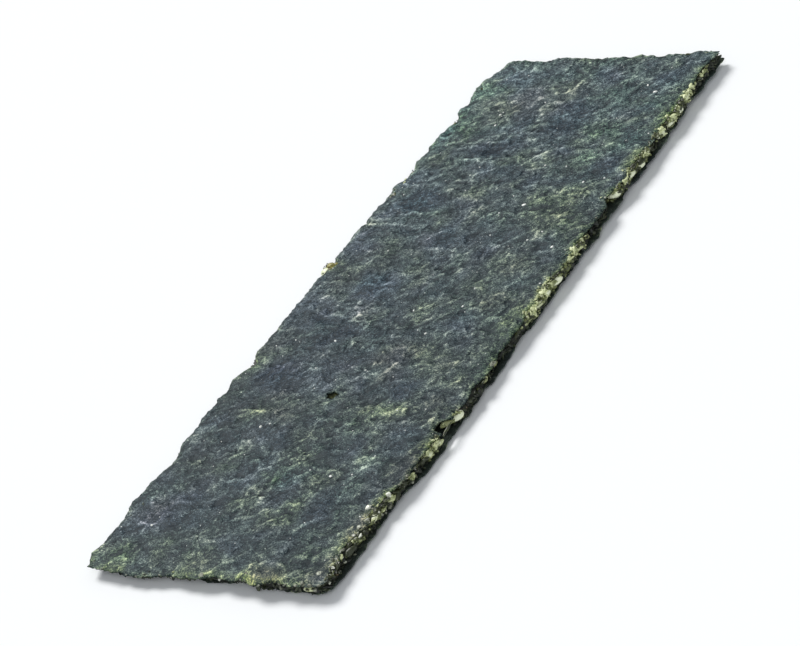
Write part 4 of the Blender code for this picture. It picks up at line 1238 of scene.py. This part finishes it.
# Pieces of seeds, squeezed out at the upper sheet's rim where the filling is pale.
for k in range(520):
    run = rng.uniform(0, PERIMETER)
    (x, y), out = on_rim(run)
    pale = paleness(x, y, out)
    if out[0] < 0.7 or rng.random() > 0.70 * pale or in_bite(x, y, 0.7):
        continue
    size = rng.uniform(0.22, 0.52)
    inset = rng.uniform(0.10, 0.42)
    x, y = x - out[0] * inset, y - out[1] * inset
    low, high = float(read(UNDER, x, y)) + SHEET, float(read(UPPER_LOW, x, y))
    tall = size * rng.uniform(0.50, 0.75)
    z = min(max(high + 0.12 - rng.uniform(0.1, 0.65), low + tall), cad_high.z / MM - 1.35 * tall)
    turn = Matrix.Rotation(math.atan2(out[1], out[0]) + math.pi / 2 + rng.normal(0, 0.35), 4, "Z") @ Matrix.Rotation(rng.normal(0, 0.3), 4, "X")
    nuggets.add(lump_form, (x, y, z), (1.45 * size, 0.62 * size, tall), turn, tone(x, y, pale) + 0.10, 0.75, 7000 + k)

sliver_at = float(read(UPPER_LOW, 17.15, -22.8))
nuggets.add(lump_form, (17.22, -22.95, sliver_at - 0.06), (1.0, 0.17, 0.15), Matrix.Rotation(math.radians(97.0), 4, "Z"), -0.7, 0.45, 6999)

# Bits that lie on the sheet's rim there.
for k in range(6000):
    x, y = rng.uniform(13.5, 17.8), rng.uniform(-46.5, 46.5)
    off = float(read(TO_RIM, x, y))
    pale = paleness(x, y, (1.0, 0.0))
    if off < 0.02 or rng.random() > 0.80 * pale * math.exp(-((off / 0.62) ** 2)) or in_bite(x, y, 0.1):
        continue
    size = float(np.clip(0.11 * math.exp(0.45 * rng.standard_normal()), 0.05, 0.26))
    rise = SHEET + float(read(upper_relief, x, y)) - 0.08 if off > drawn_back(x, y) else rng.uniform(0.0, 0.20)
    z = min(float(read(UPPER_LOW, x, y)) + rise, cad_high.z / MM - 0.7 * size)
    turn = Matrix.Rotation(rng.uniform(0, 6.28), 4, "Z") @ Matrix.Rotation(rng.normal(0, 0.3), 4, "X")
    (crumbs if greyish(y) else nuggets).add(small_form if size > 0.10 else tiny_form, (x, y, z), size * np.array([1.3, 0.9, 0.5]), turn, tone(x, y, pale), 0.70, 20000 + k)

# Small pale specks along the upper sheet's rim, at the front and near its right corner: pieces of seed hull that also
# give the painted highlights of the frayed rim.
run = 0.0
while run < PERIMETER:
    (x, y), out = on_rim(run)
    at_right, at_front = out[0] > 0.5 and y < -28.5, out[1] < -0.5
    if at_right or at_front:
        big = 1.0 if at_right or x > 4.0 else 0.55
        size = big * rng.uniform(0.08, 0.22)
        for reach in np.arange(0.8, -0.8, -0.05):
            if upper_inside(x + out[0] * reach, y + out[1] * reach) > 0.03:
                break
        px, py = x + out[0] * reach, y + out[1] * reach
        z = min(float(read(UPPER_LOW, px, py)) + SHEET - rng.uniform(0.02, 0.22), cad_high.z / MM - 0.6 * size)
        turn = Matrix.Rotation(math.atan2(out[1], out[0]) + math.pi / 2 + rng.normal(0, 0.5), 4, "Z") @ Matrix.Rotation(rng.normal(0, 0.4), 4, "X")
        crumbs.add(small_form, (px, py, z), size * np.array([1.4, 0.8, 0.6]), turn, rng.uniform(-1.8, 0.1), 0.85, int(rng.integers(1e6)))
        run += rng.uniform(0.6, 2.4) if big > 0.9 else rng.uniform(0.6, 2.8)
    else:
        run += 0.5

for x, y, size, bright in ((14.9, -35.7, 0.28, 0.8), (16.2, -33.5, 0.32, 0.6), (16.4, -39.8, 0.24, 0.2), (15.7, -38.8, 0.20, 0.0), (15.9, -44.6, 0.28, 0.3),
                           (15.0, -45.7, 0.24, 0.2), (13.7, -47.2, 0.20, -0.2), (17.2, -12.4, 0.28, -0.4), (-0.2, -47.8, 0.24, 0.0)):
    rise = float(read(upper_relief, x, y)) if upper_inside(x, y) > 0.0 else -0.12
    z = min(float(read(UPPER_LOW, x, y)) + SHEET + rise, cad_high.z / MM - 0.6 * size)
    crumbs.add(lump_form, (x, y, z), size * np.array([1.1, 0.8, 0.6]), Matrix.Rotation(rng.uniform(0, 6.28), 4, "Z"), bright, 0.8, int(rng.integers(1e6)))

# Larger lumps of seed bits in syrup, which stick to the upper sheet's rim and come out past it.
for k in range(3000):
    run = rng.uniform(0, PERIMETER)
    (x, y), out = on_rim(run)
    pale = paleness(x, y, out)
    if rng.random() > 0.60 * pale:
        continue
    size = float(np.clip(0.22 * math.exp(0.35 * rng.standard_normal()), 0.12, 0.42))
    inset = rng.uniform(0.0, 0.5) if out[0] > 0.7 else rng.uniform(0.35, 0.8)
    x, y = x - out[0] * inset, y - out[1] * inset
    if in_bite(x, y, 0.6):
        continue
    low, high = float(read(UNDER, x, y)) + SHEET, float(read(UPPER_LOW, x, y))
    z = high + 0.12 - rng.uniform(0.0, 0.75) * (0.6 + 0.4 * min(pale, 1.0))
    z = min(max(z, low + 0.3 * size), cad_high.z / MM - 0.55 * size)
    heading = math.atan2(out[1], out[0]) + math.pi / 2 + rng.normal(0, 0.5)
    turn = Matrix.Rotation(heading, 4, "Z") @ Matrix.Rotation(rng.normal(0, 0.4), 4, "X") @ Matrix.Rotation(rng.normal(0, 0.3), 4, "Y")
    nuggets.add(lump_form if size > 0.27 else small_form, (x, y, z), size * np.array([rng.uniform(1.2, 2.1), rng.uniform(0.5, 0.85), rng.uniform(0.40, 0.75)]),
                turn, tone(x, y, pale), 0.8, 9000 + k)

for k in range(5200):
    run = rng.uniform(0, PERIMETER)
    (x, y), out = on_rim(run)
    pale = paleness(x, y, out)
    size = min(0.34, 0.125 * math.exp(0.48 * rng.standard_normal()))
    inset = rng.uniform(0.0, 0.62) + 0.25 * size
    kind = rng.random()
    heaped = pale > 1.15 and out[0] > 0.7
    if heaped:
        inset -= 0.12
    elif out[0] < 0.7:
        inset += 0.35 if out[0] < -0.5 else 0.15
    x, y = x - out[0] * inset, y - out[1] * inset
    if in_bite(x, y, 0.5):
        continue
    low, high = float(read(UNDER, x, y)) + SHEET, float(read(UPPER_LOW, x, y)) + (0.30 if heaped and inset < 0.3 else 0.0)
    z = rng.uniform(low + 0.6 * size, max(low + 0.65 * size, high - 0.5 * size))
    turn = Matrix.Rotation(rng.uniform(0, 6.28), 4, Vector(rng.standard_normal(3)).normalized())
    shape_size = size * np.array([rng.uniform(0.9, 1.5), rng.uniform(0.7, 1.1), rng.uniform(0.5, 0.9)])
    share = 0.02 + 0.58 * min(1.25, pale)
    if kind < share:
        # the lower a bit sits in the wall, the darker it is: painted shade towards the bottom of the wall
        shade = tone(x, y, pale) - 1.6 * max(0.0, 0.55 - (z - low) / (high - low))
        (crumbs if greyish(y) else nuggets).add(small_form if size > 0.10 else tiny_form, (x, y, z), shape_size, turn, shade, 0.70, k)
    elif kind < share + 0.008:
        toasted.add(small_form, (x, y, z), shape_size * 0.9, turn, rng.uniform(-0.8, 0.8), 0.3, k)
    elif kind < share + (0.10 if out[1] < -0.7 else 0.04):
        crumbs.add(small_form, (x, y, z), shape_size * 0.6, turn, rng.uniform(-0.8, 0.8), 0.3, k)
    else:
        flakes.add(small_form if size > 0.15 else tiny_form, (x, y, z), shape_size * np.array([1.5, 1.1, 0.40]), turn, rng.uniform(-0.9, 0.7), 0.40, k)

seed_stuff = crumb_material("sesame_hull", (0.30, 0.33, 0.15), (0.54, 0.585, 0.34), (0.80, 0.845, 0.62), 0.42, 0.7, 0.04)
nugget_stuff = crumb_material("syrup_crumb", (0.024, 0.031, 0.011), (0.175, 0.205, 0.075), (0.62, 0.67, 0.38), 0.42, 0.32, 0.06)
flake_stuff = crumb_material("laver_crumb", (0.006, 0.009, 0.007), (0.020, 0.027, 0.016), (0.070, 0.085, 0.045), 0.5, 0.4, 0.05)
toast_stuff = crumb_material("toasted_crumb", (0.05, 0.039, 0.019), (0.11, 0.088, 0.046), (0.21, 0.175, 0.11), 0.45, 0.4, 0.03)
grain_stuff = crumb_material("pale_grain", (0.14, 0.150, 0.11), (0.37, 0.39, 0.31), (0.78, 0.80, 0.70), 0.4, 0.4, 0.02)
whole.made("sesame_seeds", seed_stuff)
nuggets.made("syrup_nuggets", nugget_stuff)
flakes.made("laver_crumbs", flake_stuff)
toasted.made("toasted_bits", toast_stuff)
crumbs.made("pale_grains", grain_stuff)

# The chip that pokes out of the left side.
chip = Heap()
cx, cy = -17.6, 4.0
high = float(read(UPPER_LOW, cx, cy))
chip.add(lump_form, (cx + 0.20, cy, high + 0.02), (0.70, 0.55, 0.34), Matrix.Rotation(-0.6, 4, "Z"), 0.2, 0.40, 3)
chip.add(lump_form, (cx + 0.75, cy + 0.35, high - 0.02), (0.60, 0.45, 0.32), Matrix.Rotation(0.5, 4, "Z"), 0.0, 0.40, 4)
chip.add(lump_form, (cx + 0.55, cy - 0.60, high - 0.10), (0.50, 0.36, 0.26), Matrix.Rotation(1.2, 4, "Z"), -0.4, 0.40, 5)
chip.made("edge_chip", crumb_material("yellow_chip", (0.07, 0.065, 0.014), (0.17, 0.155, 0.035), (0.34, 0.31, 0.09), 0.45, 0.35, 0.06))

# Specks on the upper face: white grains of salt, which also stand in for the glints of the glossy face as painted
# highlights.
salt_and_glints = Heap()
speck_form = lump_shape(0)
spots = [
    (12.4, 38.6, 0.36), (5.0, 16.2, 0.32), (10.4, 40.3, 0.22), (-7.9, -25.2, 0.26), (7.0, -31.8, 0.24), (-9.7, 35.3, 0.24), (-9.2, 33.0, 0.22),
    (14.0, 7.8, 0.26), (0.6, -3.8, 0.20), (7.2, -2.8, 0.22), (-7.2, -9.9, 0.22), (3.8, 24.0, 0.18), (7.2, 23.6, 0.18), (11.6, 20.2, 0.20),
    (14.2, 21.0, 0.18), (9.5, 9.3, 0.20), (5.0, -7.9, 0.22), (9.7, -31.3, 0.18), (-12.5, -41.6, 0.20), (-6.9, -24.6, 0.18),
]
for k in range(300):
    spots.append((rng.uniform(-17.0, 16.8), rng.uniform(-47.0, 47.0), min(0.15, 0.055 * math.exp(0.50 * rng.standard_normal()))))
for k, (x, y, size) in enumerate(spots):
    size *= 0.88 if size > 0.17 else 1.0
    flat = 0.45 if size > 0.17 else 0.7
    z = float(read(UPPER_LOW, x, y)) + SHEET + float(read(upper_relief, x, y)) + 0.25 * size * flat
    z = min(z, cad_high.z / MM + 0.02 - size * flat)
    if upper_inside(x, y) < 0.35:
        continue
    turn = Matrix.Rotation(rng.uniform(0, 6.28), 4, "Z") @ Matrix.Rotation(rng.normal(0, 0.2), 4, "X")
    salt_and_glints.add(speck_form if size < 0.17 else small_form, (x, y, z), size * np.array([1.0, 0.75, flat]), turn, rng.uniform(-0.5, 0.5), 0.25, k)
salt_and_glints.made("salt_and_glint_specks", crumb_material("salt_and_glints", (0.66, 0.68, 0.64), (0.80, 0.82, 0.79), (0.92, 0.94, 0.91), 0.35, 0.3, 0.01), "seed_filling", False)


# Floor, light and camera.

SKY = 0.32

floor_mesh = bpy.data.meshes.new("floor")
floor_mesh.from_pydata([(-60, -60, 0), (60, -60, 0), (60, 60, 0), (-60, 60, 0)], [], [(0, 1, 2, 3)])
floor = bpy.data.objects.new("floor", floor_mesh)
floor.location.z = -0.00002
bpy.context.scene.collection.objects.link(floor)
fm, fnt, fshader = material("floor")
fshader.inputs["Base Color"].default_value = (0.80, 0.815, 0.83, 1)
fshader.inputs["Roughness"].default_value = 0.85
fshader.inputs["Specular IOR Level"].default_value = 0.2
floor_mesh.materials.append(fm)
floor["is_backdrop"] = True

world = bpy.data.worlds.new("studio")
bpy.context.scene.world = world
world.use_nodes = True
wnt = world.node_tree
sky = wnt.nodes["Background"]
sky.inputs["Color"].default_value = (0.93, 0.965, 1.0, 1)
seen = node(wnt, "ShaderNodeLightPath").outputs["Is Camera Ray"]
strength = maths(wnt, "MULTIPLY_ADD", seen, 1.12 - SKY)
strength.node.inputs[2].default_value = SKY
wnt.links.new(strength, sky.inputs["Strength"])


def sun(name, way, size, watts, colour=(1, 1, 1)):
    """A distant lamp that shines from the direction given."""
    data = bpy.data.lights.new(name, "SUN")
    data.angle = math.radians(size)
    data.energy = watts
    data.color = colour
    obj = bpy.data.objects.new(name, data)
    obj.rotation_euler = (-Vector(way)).to_track_quat("-Z", "Y").to_euler()
    bpy.context.scene.collection.objects.link(obj)


sun("key", (-0.62, 0.30, 0.72), 26.0, 3.2, (1.0, 0.99, 0.97))
sun("fill", (0.50, -0.60, 0.62), 50.0, 1.0, (0.97, 0.99, 1.0))

eye = Vector((167.40, -161.52, 137.31)) * MM
aim = Vector((-1.857, -4.216, 0.0)) * MM
ROLL = math.radians(26.743)
lens = 102.91
forward = (aim - eye).normalized()
right = forward.cross(Vector((0, 0, 1))).normalized()
down = forward.cross(right)
r = right * math.cos(ROLL) + down * math.sin(ROLL)
d = -right * math.sin(ROLL) + down * math.cos(ROLL)
cam_data = bpy.data.cameras.new("camera")
cam_data.sensor_fit = "HORIZONTAL"
cam_data.sensor_width = 36.0
cam_data.lens = lens
cam_data.clip_start, cam_data.clip_end = 0.01, 500.0
cam = bpy.data.objects.new("camera", cam_data)
cam.matrix_world = Matrix(((r.x, -d.x, -forward.x, eye.x), (r.y, -d.y, -forward.y, eye.y), (r.z, -d.z, -forward.z, eye.z), (0, 0, 0, 1)))
bpy.context.scene.collection.objects.link(cam)
bpy.context.scene.camera = cam
bpy.context.scene.view_settings.view_transform = "Standard"

low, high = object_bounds()
